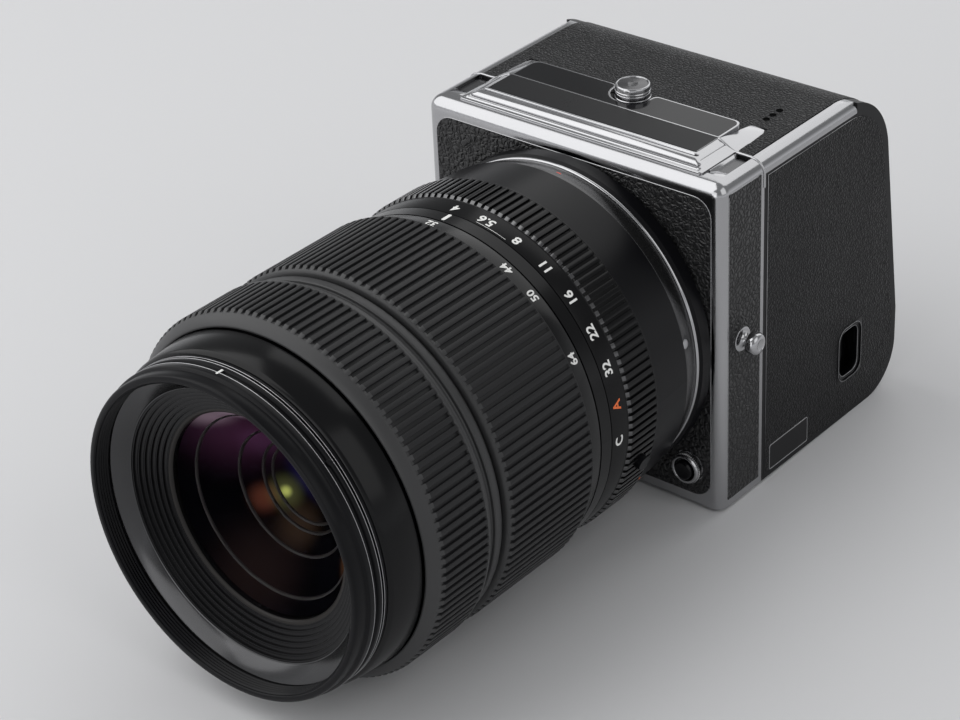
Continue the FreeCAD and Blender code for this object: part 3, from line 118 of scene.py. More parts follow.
class Graph:
    """A node tree with short calls for adding nodes and joining them."""

    def __init__(self, tree: bpy.types.NodeTree) -> None:
        """Work on one node tree."""
        self.tree = tree

    def feed(self, node: Node, given: dict) -> None:
        """Fill a node's inputs.

        Args:
            node: The node.
            given: A socket to join, or a number, vector or colour to set, by input.
        """
        for name, value in given.items():
            if isinstance(value, Socket):
                self.tree.links.new(value, node.inputs[name])
            else:
                node.inputs[name].default_value = value

    def add(self, kind: str, given: dict | None = None, **settings: object) -> Node:
        """Add a node.

        Args:
            kind: Its type without the common prefix.
            given: What its inputs get.
            settings: Properties to set on it.
        Returns:
            The new node.
        """
        node = self.tree.nodes.new("ShaderNode" + kind)
        for name, value in settings.items():
            setattr(node, name, value)
        self.feed(node, given or {})
        return node

    def place(self) -> Socket:
        """The piece's own coordinates."""
        return self.add("TexCoord").outputs["Object"]

    def math(self, operation: str, *values: object) -> Socket:
        """Combine sockets or numbers with one arithmetic step."""
        return self.add("Math", dict(enumerate(values)), operation=operation).outputs[0]

    def mix(self, share: Socket, low: object, high: object) -> Socket:
        """Blend two colours by a share."""
        return self.add("Mix", {0: share, 6: low, 7: high}, data_type="RGBA").outputs[2]

    def scaled(self, vector: object, factor: Socket) -> Socket:
        """Scale a vector or a colour."""
        return self.add("VectorMath", {0: vector, "Scale": factor}, operation="SCALE").outputs[0]

    def summed(self, first: Socket, second: Socket) -> Socket:
        """Add two vectors or colours."""
        return self.add("VectorMath", {0: first, 1: second}, operation="ADD").outputs[0]

    def fade(self, value: Socket, near: float, far: float, way: Fade = Fade.LINEAR) -> Socket:
        """Fall from 1 at the near value to 0 at the far one."""
        given = {"Value": value, "From Min": near, "From Max": far, "To Min": 1.0, "To Max": 0.0}
        return self.add("MapRange", given, interpolation_type=way.value).outputs[0]

    def noise(self, vector: Socket, scale: object, detail: float = 2.0) -> Node:
        """Place a noise texture over a vector."""
        return self.add("TexNoise", {"Vector": vector, "Scale": scale, "Detail": detail})


def new_group(name: str, inputs: dict[str, float], outputs: Sequence[str]
              ) -> tuple[Graph, bpy.types.bpy_prop_collection, Node]:
    """Start a shader node group that reads a place.

    Args:
        name: The group's name.
        inputs: The default of each number that it takes besides the place.
        outputs: Name of each number that it gives.
    Returns:
        A graph on its tree, what it takes by name, and the node that gives its results.
    """
    tree = bpy.data.node_groups.new(name, "ShaderNodeTree")
    tree.interface.new_socket(name="Vector", in_out="INPUT", socket_type="NodeSocketVector")
    for label, default in inputs.items():
        socket = tree.interface.new_socket(name=label, in_out="INPUT",
                                           socket_type="NodeSocketFloat")
        socket.default_value = default
    for label in outputs:
        tree.interface.new_socket(name=label, in_out="OUTPUT", socket_type="NodeSocketFloat")
    given = tree.nodes.new("NodeGroupInput").outputs
    return Graph(tree), given, tree.nodes.new("NodeGroupOutput")


class Effects:
    """The shader node groups that the finishes share, each built once."""

    smears: float = 45.0
    specks: float = 1900.0
    warp: float = 420.0
    pores: float = 4200.0

    def __init__(self) -> None:
        """Build every group."""
        self.handling = self._handling()
        self.pebbles = self._pebbles()
        self.fine_grain = self._fine_grain()
        self.turning = self._turning()

    def _handling(self) -> bpy.types.NodeTree:
        """Smears and dust: a slow change of gloss and tone with a few finer specks.

        Returns:
            The group's tree.
        """
        graph, given, result = new_group("handling", {"Amount": 0.1}, ["Tone", "Gloss"])
        broad = graph.noise(given["Vector"], self.smears, 3.0).outputs[0]
        slow = graph.math("SUBTRACT", broad, 0.5)
        fine = graph.noise(given["Vector"], self.specks).outputs[0]
        specks = graph.math("SUBTRACT", fine, 0.5)
        both = graph.math("MULTIPLY_ADD", specks, 0.35, slow)
        gloss = graph.math("MULTIPLY", both, given["Amount"])
        graph.feed(result, {"Tone": graph.math("ADD", gloss, 1.0), "Gloss": gloss})
        return graph.tree

    def _pebbles(self) -> bpy.types.NodeTree:
        """Leather pebbles: rounded cells of uneven size with creases between them.

        Returns:
            The group's tree.
        """
        graph, given, result = new_group("pebbles", {"Scale": 900.0, "Wander": 0.0016},
                                         ["Height", "Crevice"])
        warp = graph.noise(given["Vector"], self.warp).outputs["Color"]
        moved = graph.summed(given["Vector"], graph.scaled(warp, given["Wander"]))
        edge = graph.add("TexVoronoi", {"Vector": moved, "Scale": given["Scale"]},
                         feature="DISTANCE_TO_EDGE").outputs[0]
        dome = graph.math("SMOOTH_MIN", edge, 0.3, 0.3)
        rough = graph.noise(moved, self.pores).outputs[0]
        graph.feed(result, {"Height": graph.math("MULTIPLY_ADD", rough, 0.05, dome),
                            "Crevice": graph.fade(edge, 0.0, 0.12)})
        return graph.tree

    def _fine_grain(self) -> bpy.types.NodeTree:
        """The even fine grain of enamel, moulded plastic and rubber.

        Returns:
            The group's tree.
        """
        graph, given, result = new_group("fine grain", {"Scale": 3000.0}, ["Height"])
        noise = graph.noise(given["Vector"], given["Scale"], 3.0)
        graph.feed(result, {"Height": noise.outputs[0]})
        return graph.tree

    def _turning(self) -> bpy.types.NodeTree:
        """Lathe marks: fine rings about the optical axis, read from radius and distance.

        Returns:
            The group's tree.
        """
        graph, given, result = new_group("turning", {"Scale": 2500.0}, ["Height"])
        place = graph.add("SeparateXYZ", {0: given["Vector"]}).outputs
        up = graph.math("SUBTRACT", place[2], AXIS_Z * MM)
        across = graph.math("MULTIPLY", place[0], place[0])
        radius = graph.math("SQRT", graph.math("MULTIPLY_ADD", up, up, across))
        section = graph.add("CombineXYZ", {0: radius, 1: place[1]}).outputs[0]
        graph.feed(result, {"Height": graph.noise(section, given["Scale"]).outputs[0]})
        return graph.tree


EFFECTS = Effects()
MADE: dict[str, bpy.types.Material] = {}


@dataclass(frozen=True)
class Surface:
    """What every finish has: a name, and a material that is built on first use."""

    name: str

    def material(self) -> bpy.types.Material:
        """Return the material, built the first time.

        Returns:
            The material of this name.
        """
        if self.name not in MADE:
            MADE[self.name] = bpy.data.materials.new(self.name)
            MADE[self.name].use_nodes = True
            tree = MADE[self.name].node_tree
            self.paint(Graph(tree), tree.nodes["Principled BSDF"])
        return MADE[self.name]

    def paint(self, graph: Graph, shader: Node) -> None:
        """Fill the material's nodes, which each kind of finish does in its own way."""
        raise NotImplementedError


@dataclass(frozen=True)
class Finish(Surface):
    """The colour, gloss and grain of one real material."""

    color: Triple
    grain: Grain
    roughness: float = 0.4
    metallic: float = 0.0
    coat: float = 0.0
    specular: float = 0.5
    variation: float = 0.1
    bump: float = 0.2
    depth: float = 0.02
    scale: float = 3000.0
    coat_roughness: float = 0.06
    wear: float = 0.6
    # How dark the creases are painted: painted shade in the hollows between pebbles.
    crease_shade_tone: float = 0.2
    crease_gloss: float = 0.25

    def paint(self, graph: Graph, shader: Node) -> None:
        """Change colour and gloss by handling, and height by the grain; in leather, darken the
        creases with painted shade.

        Args:
            graph: The material's nodes.
            shader: Its surface node.
        """
        graph.feed(shader, {
            "Base Color": (*self.color, 1.0), "Roughness": self.roughness,
            "Metallic": self.metallic, "Coat Weight": self.coat,
            "Coat Roughness": self.coat_roughness, "Specular IOR Level": self.specular})
        place = graph.place()
        handling = graph.add("Group", {"Vector": place, "Amount": self.variation},
                             node_tree=EFFECTS.handling).outputs
        color = graph.scaled(self.color, handling["Tone"])
        gloss = graph.math("MULTIPLY_ADD", handling["Gloss"], self.wear, self.roughness)
        tree = {Grain.PEBBLE: EFFECTS.pebbles,
                Grain.TURNED: EFFECTS.turning}.get(self.grain, EFFECTS.fine_grain)
        grain = graph.add("Group", {"Vector": place, "Scale": self.scale},
                          node_tree=tree).outputs
        # Leather: the creases get painted shade, a darker colour, and more roughness.
        if self.grain is Grain.PEBBLE:
            crease_shaded_color = (*(self.crease_shade_tone * part for part in self.color), 1.0)
            color = graph.mix(grain["Crevice"], color, crease_shaded_color)
            gloss = graph.math("MULTIPLY_ADD", grain["Crevice"], self.crease_gloss, gloss)
        bump = graph.add("Bump", {"Strength": self.bump, "Distance": self.depth * MM,
                                  "Height": grain["Height"]})
        graph.feed(shader, {"Base Color": color, "Roughness": gloss, "Normal": bump.outputs[0]})


@dataclass(frozen=True)
class Glass(Surface):
    """A clear element: its tint, and how strongly its coating reflects."""

    tint: Triple
    coating: Triple
    reflect: float
    ior: float = 1.45
    smears: float = 90.0
    smear_tone: float = 0.94

    def paint(self, graph: Graph, shader: Node) -> None:
        """Make the surface clear, its tint uneven by a faint smear.

        Args:
            graph: The material's nodes.
            shader: Its surface node.
        """
        clear = (*self.tint, 1.0)
        graph.feed(shader, {
            "Base Color": clear, "Roughness": 0.0, "IOR": self.ior, "Transmission Weight": 1.0,
            "Specular IOR Level": self.reflect, "Specular Tint": (*self.coating, 1.0)})
        smear = graph.noise(graph.place(), self.smears).outputs[0]
        thicker = (*(self.smear_tone * part for part in self.tint), 1.0)
        graph.feed(shader, {"Base Color": graph.mix(smear, clear, thicker)})


@dataclass(frozen=True)
class PaintedCoatingReflection:
    """A soft painted reflection in a coating's colour, which glows: its centre and reach in the
    body's millimetres.
    """

    centre: Triple
    reach: float
    color: Triple


@dataclass(frozen=True)
class ReflectionPaintedBowl(Surface):
    """A deep glass surface seen through the front element: a black base, painted shade of the
    lens's depth, with glowing painted reflections of the coatings.
    """

    painted_reflections: Sequence[PaintedCoatingReflection]

    def paint(self, graph: Graph, shader: Node) -> None:
        """Add the painted reflections together as glow over black, each faded out from its centre.

        Args:
            graph: The material's nodes.
            shader: Its surface node.
        """
        place, total = graph.place(), None
        for reflection_patch in self.painted_reflections:
            away = graph.add("VectorMath", {0: place, 1: at(*reflection_patch.centre)}, operation="DISTANCE")
            near = graph.fade(away.outputs["Value"], 0.0, reflection_patch.reach * MM, Fade.SMOOTHER)
            patch = graph.scaled(reflection_patch.color, near)
            total = graph.summed(total, patch) if total else patch
        graph.feed(shader, {
            "Base Color": (0.002, 0.002, 0.003, 1.0), "Roughness": 0.5,
            "Specular IOR Level": 0.0, "Emission Strength": 1.0, "Emission Color": total})


@dataclass(frozen=True)
class PaleFloor(Surface):
    """The studio's floor, which fades into the backdrop with the distance in metres."""

    color: Triple = (0.68, 0.68, 0.69)
    near: float = 0.6
    far: float = 1.4

    def paint(self, graph: Graph, shader: Node) -> None:
        """Give the floor its colour and let it thin out far away.

        Args:
            graph: The material's nodes.
            shader: Its surface node.
        """
        away = graph.add("VectorMath", {0: graph.place()}, operation="LENGTH").outputs["Value"]
        graph.feed(shader, {"Base Color": (*self.color, 1.0), "Roughness": 0.7,
                            "Alpha": graph.fade(away, self.near, self.far, Fade.SMOOTH)})


CHROME = Finish("polished chrome", (0.45, 0.45, 0.46), Grain.POLISHED, 0.13, 1.0,
                variation=0.06, bump=0.02, depth=0.004, scale=500.0)
HOUSING_CHROME = Finish("housing chrome", (0.42, 0.42, 0.43), Grain.POLISHED, 0.16, 1.0,
                        variation=0.08, bump=0.02, depth=0.004, scale=500.0)
SATIN_CHROME = Finish("satin chrome", (0.42, 0.42, 0.43), Grain.SATIN, 0.28, 1.0,
                      variation=0.08, bump=0.05, depth=0.006)
# A dark copy of the chrome: on the recess floors it is painted shade in the recess; the knob's disc
# uses it too.
SHADED_CHROME = Finish("shaded recess chrome", (0.12, 0.12, 0.123), Grain.SATIN, 0.24, 1.0,
                       bump=0.05, depth=0.006)
STEEL = Finish("turned steel", (0.45, 0.45, 0.45), Grain.TURNED, 0.3, 1.0, bump=0.3, depth=0.01)
PLATE_ENAMEL = Finish("plate enamel", (0.006, 0.006, 0.007), Grain.SATIN, 0.3, specular=0.16,
                      variation=0.2, bump=0.06, depth=0.006)
GLOSS_ENAMEL = Finish("gloss enamel", (0.003, 0.003, 0.004), Grain.POLISHED, 0.1, coat=0.05,
                      specular=0.2, bump=0.02, depth=0.004, scale=700.0)
SHELL_ENAMEL = Finish("shell enamel", (0.008, 0.008, 0.009), Grain.SATIN, 0.42, specular=0.2,
                      variation=0.2, bump=0.3, depth=0.015)
PEBBLE_LEATHER = Finish("pebble leather", (0.013, 0.013, 0.014), Grain.PEBBLE, 0.32,
                        specular=0.42, variation=0.25, bump=1.0, depth=1.2, scale=720.0)
FINE_LEATHER = Finish("fine leather", (0.007, 0.007, 0.008), Grain.PEBBLE, 0.36,
                      specular=0.22, variation=0.25, bump=1.0, depth=0.6, scale=1050.0)
GRIP_RUBBER = Finish("grip rubber", (0.014, 0.014, 0.015), Grain.RUBBER, 0.44, specular=0.26,
                     variation=0.3, bump=0.4, scale=2200.0)
# A lighter copy of the grip rubber: painted light on the sloping lips and rib tips, which face the
# light. The focus ring's rear lip and the gap band use it too.
LIT_LIP_RUBBER = Finish("lip rubber painted lighter", (0.036, 0.036, 0.037), Grain.RUBBER, 0.42, specular=0.4,
                    variation=0.2, bump=0.3, depth=0.015, scale=2600.0)
BARREL_BLACK = Finish("barrel anodising", (0.004, 0.004, 0.005), Grain.SATIN, 0.3,
                      specular=0.14, variation=0.15, bump=0.08, depth=0.006)
BAND_BLACK = Finish("band enamel", (0.0035, 0.0035, 0.004), Grain.POLISHED, 0.2,
                    specular=0.2, variation=0.12, bump=0.02, depth=0.005)
# A lighter metal on the aperture rib tips than on the ring: a painted highlight for the glints on
# their ends.
TIP_GLINT_METAL = Finish("rib tip glint metal", (0.13, 0.13, 0.132), Grain.SATIN, 0.25, 1.0,
                   variation=0.2, bump=0.1, depth=0.006)
CONE_GREY = Finish("cone anodising", (0.07, 0.07, 0.072), Grain.TURNED, 0.24, 0.9,
                   specular=0.3, variation=0.15, bump=0.1, depth=0.006)
SATIN_CONE = Finish("baffle anodising", (0.066, 0.066, 0.068), Grain.TURNED, 0.2, 0.95,
                    variation=0.25, bump=0.25, depth=0.01)
STEP_GREY = Finish("baffle step anodising", (0.013, 0.013, 0.014), Grain.TURNED, 0.24, 0.6,
                   specular=0.3, variation=0.2, bump=0.3, depth=0.012)
# Painted shade: the black of the microphone holes' insides.
HOLE_SHADE_BLACK = Finish("painted hole shade", (0.0012, 0.0012, 0.0012), Grain.MOULDED, 0.8, specular=0.02,
                    bump=0.05, depth=0.004)
FLOCK_BLACK = Finish("baffle paint", (0.003, 0.003, 0.003), Grain.MOULDED, 0.6, specular=0.15,
                     variation=0.2, bump=0.3)
MOULDED_BLACK = Finish("moulded black", (0.01, 0.01, 0.011), Grain.MOULDED, 0.5,
                       specular=0.3, variation=0.2, bump=0.3)
CELL_BLACK = Finish("cell anodising", (0.02, 0.018, 0.017), Grain.TURNED, 0.4,
                    specular=0.2, variation=0.15, bump=0.1, depth=0.006)
BOARD_GREEN = Finish("board lacquer", (0.01, 0.09, 0.04), Grain.MOULDED, 0.35, coat=0.3)
SENSOR_FACE = Finish("sensor face", (0.05, 0.03, 0.08), Grain.POLISHED, 0.15, coat=0.6)
SCREEN_FACE = Finish("screen face", (0.004, 0.004, 0.006), Grain.POLISHED, 0.06, coat=0.3,
                     specular=0.3, variation=0.05, bump=0.02, depth=0.005, scale=600.0)
MARK_WHITE = Finish("mark white", (0.85, 0.85, 0.83), Grain.MOULDED, 0.5, variation=0.05,
                    bump=0.1, depth=0.005)
MARK_ORANGE = Finish("mark orange", (0.85, 0.16, 0.03), Grain.MOULDED, 0.5, variation=0.05,
                     bump=0.1, depth=0.005)
MARK_RED = Finish("mark red", (0.65, 0.05, 0.02), Grain.MOULDED, 0.45, variation=0.05,
                  bump=0.1, depth=0.005)
FRONT_GLASS = Glass("front glass", (0.98, 0.97, 0.99), (0.9, 0.7, 0.9), 0.4, 1.0)
INNER_GLASS = Glass("inner glass", (0.9, 0.9, 0.9), (0.6, 0.9, 0.7), 0.15, 1.2)
# Painted reflections that glow: pink near the top, purple, blue, brown and a yellow-green spot in
# coating colours, over black that paints the shade deep in the lens.
PAINTED_REFLECTION_BOWL = ReflectionPaintedBowl("painted coating reflections", (
    PaintedCoatingReflection((-15.0, -114.0, 65.0), 9.0, (0.11, 0.085, 0.1)),
    PaintedCoatingReflection((-6.5, -113.5, 69.5), 9.0, (0.19, 0.15, 0.18)),
    PaintedCoatingReflection((3.2, -113.0, 69.5), 8.5, (0.36, 0.27, 0.34)),
    PaintedCoatingReflection((-13.0, -106.0, 59.0), 21.0, (0.025, 0.008, 0.019)),
    PaintedCoatingReflection((-9.7, -103.0, 54.2), 9.0, (0.014, 0.005, 0.014)),
    PaintedCoatingReflection((0.5, -97.0, 46.5), 10.0, (0.016, 0.012, 0.075)),
    PaintedCoatingReflection((-11.5, -102.3, 37.6), 5.6, (0.06, 0.018, 0.01)),
    PaintedCoatingReflection((-2.0, -100.9, 32.8), 9.0, (0.02, 0.012, 0.007)),
    PaintedCoatingReflection((-7.4, -99.1, 39.1), 2.2, (0.3, 0.33, 0.08)),
    PaintedCoatingReflection((-7.4, -99.1, 39.1), 6.5, (0.045, 0.048, 0.018)),
    PaintedCoatingReflection((20.0, -109.6, 36.9), 6.0, (0.05, 0.022, 0.01)),
    PaintedCoatingReflection((-7.0, -110.2, 23.4), 18.0, (0.008, 0.0045, 0.0038))))

NODE_FINISHES: dict[Surface, Sequence[str]] = {
    CHROME: ("roof_molding", "strap_lugs", "roof_tails", "release_knob", "shutter_button",
             "lens_release_button", "control_wheel"),
    HOUSING_CHROME: ("front_housing", "rail_right", "rail_left"),
    STEEL: ("tripod_bush", "body_mount_ring", "mount_screws", "lens_mount_ring",
            "screen_hinge_pin"),
    PLATE_ENAMEL: ("roof_plate", "base_plate"),
    GLOSS_ENAMEL: ("roof_rear_plate", "side_badge"),
    SHELL_ENAMEL: ("back_shell", "port_frame", "screen_frame", "rear_key_1", "rear_key_2",
                   "rear_key_3", "rear_key_4", "rear_key_5"),
    PEBBLE_LEATHER: ("front_leather", "side_leather_right", "side_leather_left"),
    FINE_LEATHER: ("back_leather_right", "back_leather_left", "back_leather_top", "card_door"),
    GRIP_RUBBER: ("zoom_ring", "focus_ring"),
    BARREL_BLACK: ("rear_barrel", "aperture_lock_button", "front_barrel", "adapter_ring",
                   "gap_ring"),
    BAND_BLACK: ("main_barrel", "aperture_ring"),
    SATIN_CONE: ("front_baffle",),
    MOULDED_BLACK: ("contact_block", "light_chamber", "port_socket", "battery",
                    "battery_latch", "card_slots"),
    FLOCK_BLACK: ("iris_unit",),
    CELL_BLACK: ("sensor_carrier", "optics_cell"),
    BOARD_GREEN: ("main_board",),
    SENSOR_FACE: ("image_sensor",),
    SCREEN_FACE: ("screen_glass",),
    FRONT_GLASS: ("front_element",),
    INNER_GLASS: ("sensor_glass", "inner_elements", "rear_element"),
}


def deselect() -> None:
    """Leave edit mode and clear the selection."""
    if bpy.context.object and bpy.context.object.mode != "OBJECT":
        bpy.ops.object.mode_set(mode="OBJECT")
    bpy.ops.object.select_all(action="DESELECT")


def activate(piece: Piece) -> Piece:
    """Make one piece the only selected and active object.

    Args:
        piece: The piece.
    Returns:
        The same piece.
    """
    deselect()
    piece.select_set(True)
    bpy.context.view_layer.objects.active = piece
    return piece


def edit(piece: Piece) -> None:
    """Open a piece in edit mode with all of it selected.

    Args:
        piece: The piece.
    """
    activate(piece)
    bpy.ops.object.mode_set(mode="EDIT")
    bpy.ops.mesh.select_all(action="SELECT")


def extrude(shift: Vector) -> None:
    """Extrude what is selected in edit mode."""
    bpy.ops.mesh.extrude_region_move(TRANSFORM_OT_translate={"value": shift})


def pick_edges(piece: Piece, chosen: Callable[[Vector, Vector], bool]) -> None:
    """Select the edges whose two ends pass a test.

    Args:
        piece: The object in edit mode.
        chosen: The test.
    """
    bpy.ops.mesh.select_all(action="DESELECT")
    for edge in bmesh.from_edit_mesh(piece.data).edges:
        if chosen(edge.verts[0].co, edge.verts[1].co):
            edge.select_set(True)
    bmesh.update_edit_mesh(piece.data)


def close_up(piece: Piece) -> None:
    """Merge doubles and turn the faces outwards, then leave edit mode.

    Args:
        piece: The piece.
    """
    edit(piece)
    bpy.ops.mesh.remove_doubles(threshold=MERGE)
    bpy.ops.mesh.normals_make_consistent(inside=False)
    bpy.ops.object.mode_set(mode="OBJECT")


def apply_place() -> None:
    """Apply the active object's place, turn and size to its mesh."""
    bpy.ops.object.transform_apply(location=True, rotation=True, scale=True)


def settle(piece: Piece, smooth: float = 35.0) -> Piece:
    """Apply a piece's place and shade it smooth up to an angle.

    Args:
        piece: The finished mesh.
        smooth: Edges flatter than this angle in degrees look smooth.
    Returns:
        The same piece.
    """
    activate(piece)
    apply_place()
    bpy.ops.object.shade_smooth_by_angle(angle=math.radians(smooth))
    return piece


def bevel_edges(piece: Piece, width: float, segments: int = 2, angle: float = 30.0) -> None:
    """Round a piece's sharp edges with an applied Bevel modifier.

    Args:
        piece: The piece.
        width: The rounding in millimetres.
        segments: Its steps.
        angle: Edges sharper than this angle in degrees are rounded.
    """
    activate(piece)
    bevel = piece.modifiers.new("edges", "BEVEL")
    bevel.width, bevel.segments = width * MM, segments
    bevel.limit_method, bevel.angle_limit = "ANGLE", math.radians(angle)
    bpy.ops.object.modifier_apply(modifier=bevel.name)


def dress(piece: Piece, finish: Surface, body: str, slot: str, *nodes: str) -> None:
    """Give a piece its finish and its body, and report it.

    Args:
        piece: The finished mesh.
        finish: Its surface.
        body: The body it moves with.
        slot: The record's material slot; not used.
        nodes: CAD nodes that the piece stands for.
    """
    piece.data.materials.clear()
    piece.data.materials.append(finish.material())
    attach(piece, body)
    if nodes:
        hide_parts(*nodes)
    LOG.info("%s: %d faces, rides %s", piece.name, len(piece.data.polygons), body)


def joined(pieces: Sequence[Piece], name: str) -> Piece:
    """Join pieces into one object.

    Args:
        pieces: The pieces.
        name: The new name.
    Returns:
        The object.
    """
    first = activate(pieces[0])
    for piece in pieces[1:]:
        piece.select_set(True)
    bpy.ops.object.join()
    first.name = name
    return first


def block(name: str, low: Vector, high: Vector) -> Piece:
    """A box between two corners.

    Args:
        name: Its name.
        low: Its low corner, in metres.
        high: Its high corner, in metres.
    Returns:
        The box.
    """
    deselect()
    bpy.ops.mesh.primitive_cube_add(size=1, location=(low + high) / 2, scale=high - low)
    bpy.context.object.name = name
    apply_place()
    return bpy.context.object


def chain(name: str, spots: Sequence[Vector], closed: bool) -> Piece:
    """Extrude one vertex through a row of spots.

    Args:
        name: The new object's name.
        spots: The places, in metres.
        closed: Whether the last spot joins the first.
    Returns:
        The object, in edit mode with all of it selected.
    """
    deselect()
    bpy.ops.mesh.primitive_plane_add(size=MM, location=spots[0])
    piece = bpy.context.object
    piece.name = name
    apply_place()
    edit(piece)
    bpy.ops.mesh.merge(type="CENTER")
    for here, there in zip(spots, spots[1:]):
        extrude(there - here)
    if closed:
        ends = (spots[0], spots[-1])
        bpy.ops.mesh.select_all(action="DESELECT")
        for vertex in bmesh.from_edit_mesh(piece.data).verts:
            vertex.select_set(any((vertex.co - end).length < TINY for end in ends))
        bmesh.update_edit_mesh(piece.data)
        bpy.ops.mesh.edge_face_add()
    bpy.ops.mesh.select_all(action="SELECT")
    return piece


def lathe(name: str, section: Sequence[Spot], steps: int = 180, centre: Vector | None = None,
          axis: Vector | None = None, bevel: float = 0.0, smooth: float = 35.0) -> Piece:
    """Turn a closed section about the optical axis, or about another axis.

    Args:
        name: The piece's name.
        section: Radius and distance pairs; the distance is ahead of the body, or along the axis.
        steps: How many faces go round.
        centre: A point on the other axis, in metres.
        axis: The other axis's direction; the section then starts from the centre.
        bevel: Edge rounding in millimetres.
        smooth: Edges flatter than this angle in degrees look smooth.
    Returns:
        The turned piece.
    """
    if centre is None:
        spots = [on_lens(radius, ahead) for radius, ahead in section]
        centre, axis = at(0, 0, AXIS_Z), Vector((0, 1, 0))
    else:
        side = axis.orthogonal().normalized()
        spots = [centre + side * radius * MM + axis * along * MM for radius, along in section]
    piece = chain(name, spots, closed=True)
    bpy.ops.mesh.spin(steps=steps, angle=FULL_TURN, center=centre, axis=axis)
    close_up(piece)
    if bevel:
        bevel_edges(piece, bevel)
    return settle(piece, smooth)


def plate(name: str, outline: Sequence[Vector], rise: Vector, bevel: float = 0.0,
          angle: float = 30.0, smooth: float = 20.0) -> Piece:
    """Fill an outline and extrude it.

    Args:
        name: The piece's name.
        outline: Its corners in order, in metres.
        rise: The way and length of the extrusion, in metres.
        bevel: Edge rounding in millimetres.
        angle: Edges sharper than this angle in degrees are rounded.
        smooth: Edges flatter than this angle in degrees look smooth.
    Returns:
        The plate.
    """
    piece = chain(name, outline, closed=True)
    bpy.ops.mesh.edge_face_add()
    bpy.ops.mesh.select_all(action="SELECT")
    extrude(rise)
    close_up(piece)
    if bevel:
        bevel_edges(piece, bevel, angle=angle)
    return settle(piece, smooth)


def bead(name: str, path: Sequence[Vector], radius: float, closed: bool = False,
         round_steps: int = 3) -> Piece:
    """A round wire along a path.

    Args:
        name: The wire's name.
        path: Its centre line, in metres.
        radius: Its radius in millimetres.
        closed: Whether its end joins its start.
        round_steps: How finely it is rounded.
    Returns:
        The wire.
    """
    chain(name, path, closed)
    bpy.ops.object.mode_set(mode="OBJECT")
    bpy.ops.object.convert(target="CURVE")
    curve = bpy.context.object.data
    curve.bevel_depth, curve.bevel_resolution = radius * MM, round_steps
    curve.use_fill_caps = not closed
    bpy.ops.object.convert(target="MESH")
    close_up(bpy.context.object)
    return settle(bpy.context.object, 60.0)


def copies_round(piece: Piece, count: int, centre: Vector | None = None) -> None:
    """Copy all of a mesh evenly round the optical axis or a line beside it, in the same object.

    Args:
        piece: The piece.
        count: How many there are in the end.
        centre: A point on the other line, in metres.
    """
    edit(piece)
    bpy.ops.mesh.spin(steps=count - 1, angle=FULL_TURN * (count - 1) / count, dupli=True,
                      center=centre or at(0, 0, AXIS_Z), axis=(0, 1, 0))
    bpy.ops.object.mode_set(mode="OBJECT")


def arc(centre: Spot, radius: float, start: float, end: float, steps: int) -> list[Spot]:
    """Spots along an arc.

    Args:
        centre: Its centre.
        radius: Its radius.
        start: Its first angle in degrees.
        end: Its last angle in degrees.
        steps: How many steps it has.
    Returns:
        Its spots in order, both ends included.
    """
    turns = [math.radians(start + (end - start) * step / steps) for step in range(steps + 1)]
    return [(centre[0] + radius * math.cos(turn), centre[1] + radius * math.sin(turn))
            for turn in turns]


def rounded(low: Spot, high: Spot, radius: float, steps: int = 6) -> list[Spot]:
    """The outline of a rectangle with rounded corners.

    Args:
        low: Its low corner.
        high: Its high corner.
        radius: Its corners' radius.
        steps: How many steps each corner has.
    Returns:
        Its spots in order.
    """
    left, bottom = (edge + radius for edge in low)
    right, top = (edge - radius for edge in high)
    return (arc((right, top), radius, 0, 90, steps) + arc((left, top), radius, 90, 180, steps)
            + arc((left, bottom), radius, 180, 270, steps)
            + arc((right, bottom), radius, 270, 360, steps))


@dataclass(frozen=True)
class Mark:
    """One printed mark: its text, its angle and its finish."""

    text: str
    angle: float
    finish: Finish = MARK_WHITE


@dataclass
class Numerals:
    """Printed numbers on one ring, read from behind the camera."""

    name: str
    body: str
    radius: float
    ahead: float
    height: float
    marks: Sequence[Mark]
    capital: float = 0.7
    weight: float = 0.035
    thickness: float = 0.12
    proud: float = 0.03

    def build(self) -> None:
        """Draw each mark as text, make it a mesh, and turn it to its place on the ring."""
        for index, mark in enumerate(self.marks):
            deselect()
            bpy.ops.object.text_add()
            text = bpy.context.object.data
            text.body, text.align_x, text.align_y = mark.text, "CENTER", "CENTER"
            text.size = self.height * MM / self.capital
            text.extrude = self.thickness * MM / 2
            text.offset = self.weight * self.height * MM
            text.resolution_u = 3
            bpy.ops.object.convert(target="MESH")
            piece = bpy.context.object
            piece.name = "%s_%d" % (self.name, index)
            close_up(piece)
            out = self.radius + self.proud - self.thickness / 2
            piece.location = on_lens(out, self.ahead, mark.angle)
            up, ahead = outward(mark.angle), Vector((0, -1, 0))
            turn = Matrix((ahead.cross(up), ahead, up)).transposed()
            piece.rotation_euler = turn.to_euler()
            dress(settle(piece), mark.finish, self.body, "band_black")


@dataclass(frozen=True)
class Pocket:
    """The round pocket of a button in a ribbed ring."""

    radius: float
    angle: float
    ahead: float
    below_root: float = 0.8
    depth: float = 3.0

    def sink(self, piece: Piece, root: float) -> None:
        """Cut the pocket into a piece.

        Args:
            piece: The piece.
            root: The radius between its ribs.
        """
        middle = root - self.below_root + self.depth / 2
        deselect()
        bpy.ops.mesh.primitive_cylinder_add(
            vertices=40, radius=self.radius * MM, depth=self.depth * MM,
            location=on_lens(middle, self.ahead, self.angle),
            rotation=outward(self.angle).to_track_quat("Z", "Y").to_euler())
        cutter = bpy.context.object
        activate(piece)
        cut = piece.modifiers.new("pocket", "BOOLEAN")
        cut.operation, cut.solver, cut.object = "DIFFERENCE", "EXACT", cutter
        bpy.ops.object.modifier_apply(modifier=cut.name)
        bpy.data.objects.remove(cutter)


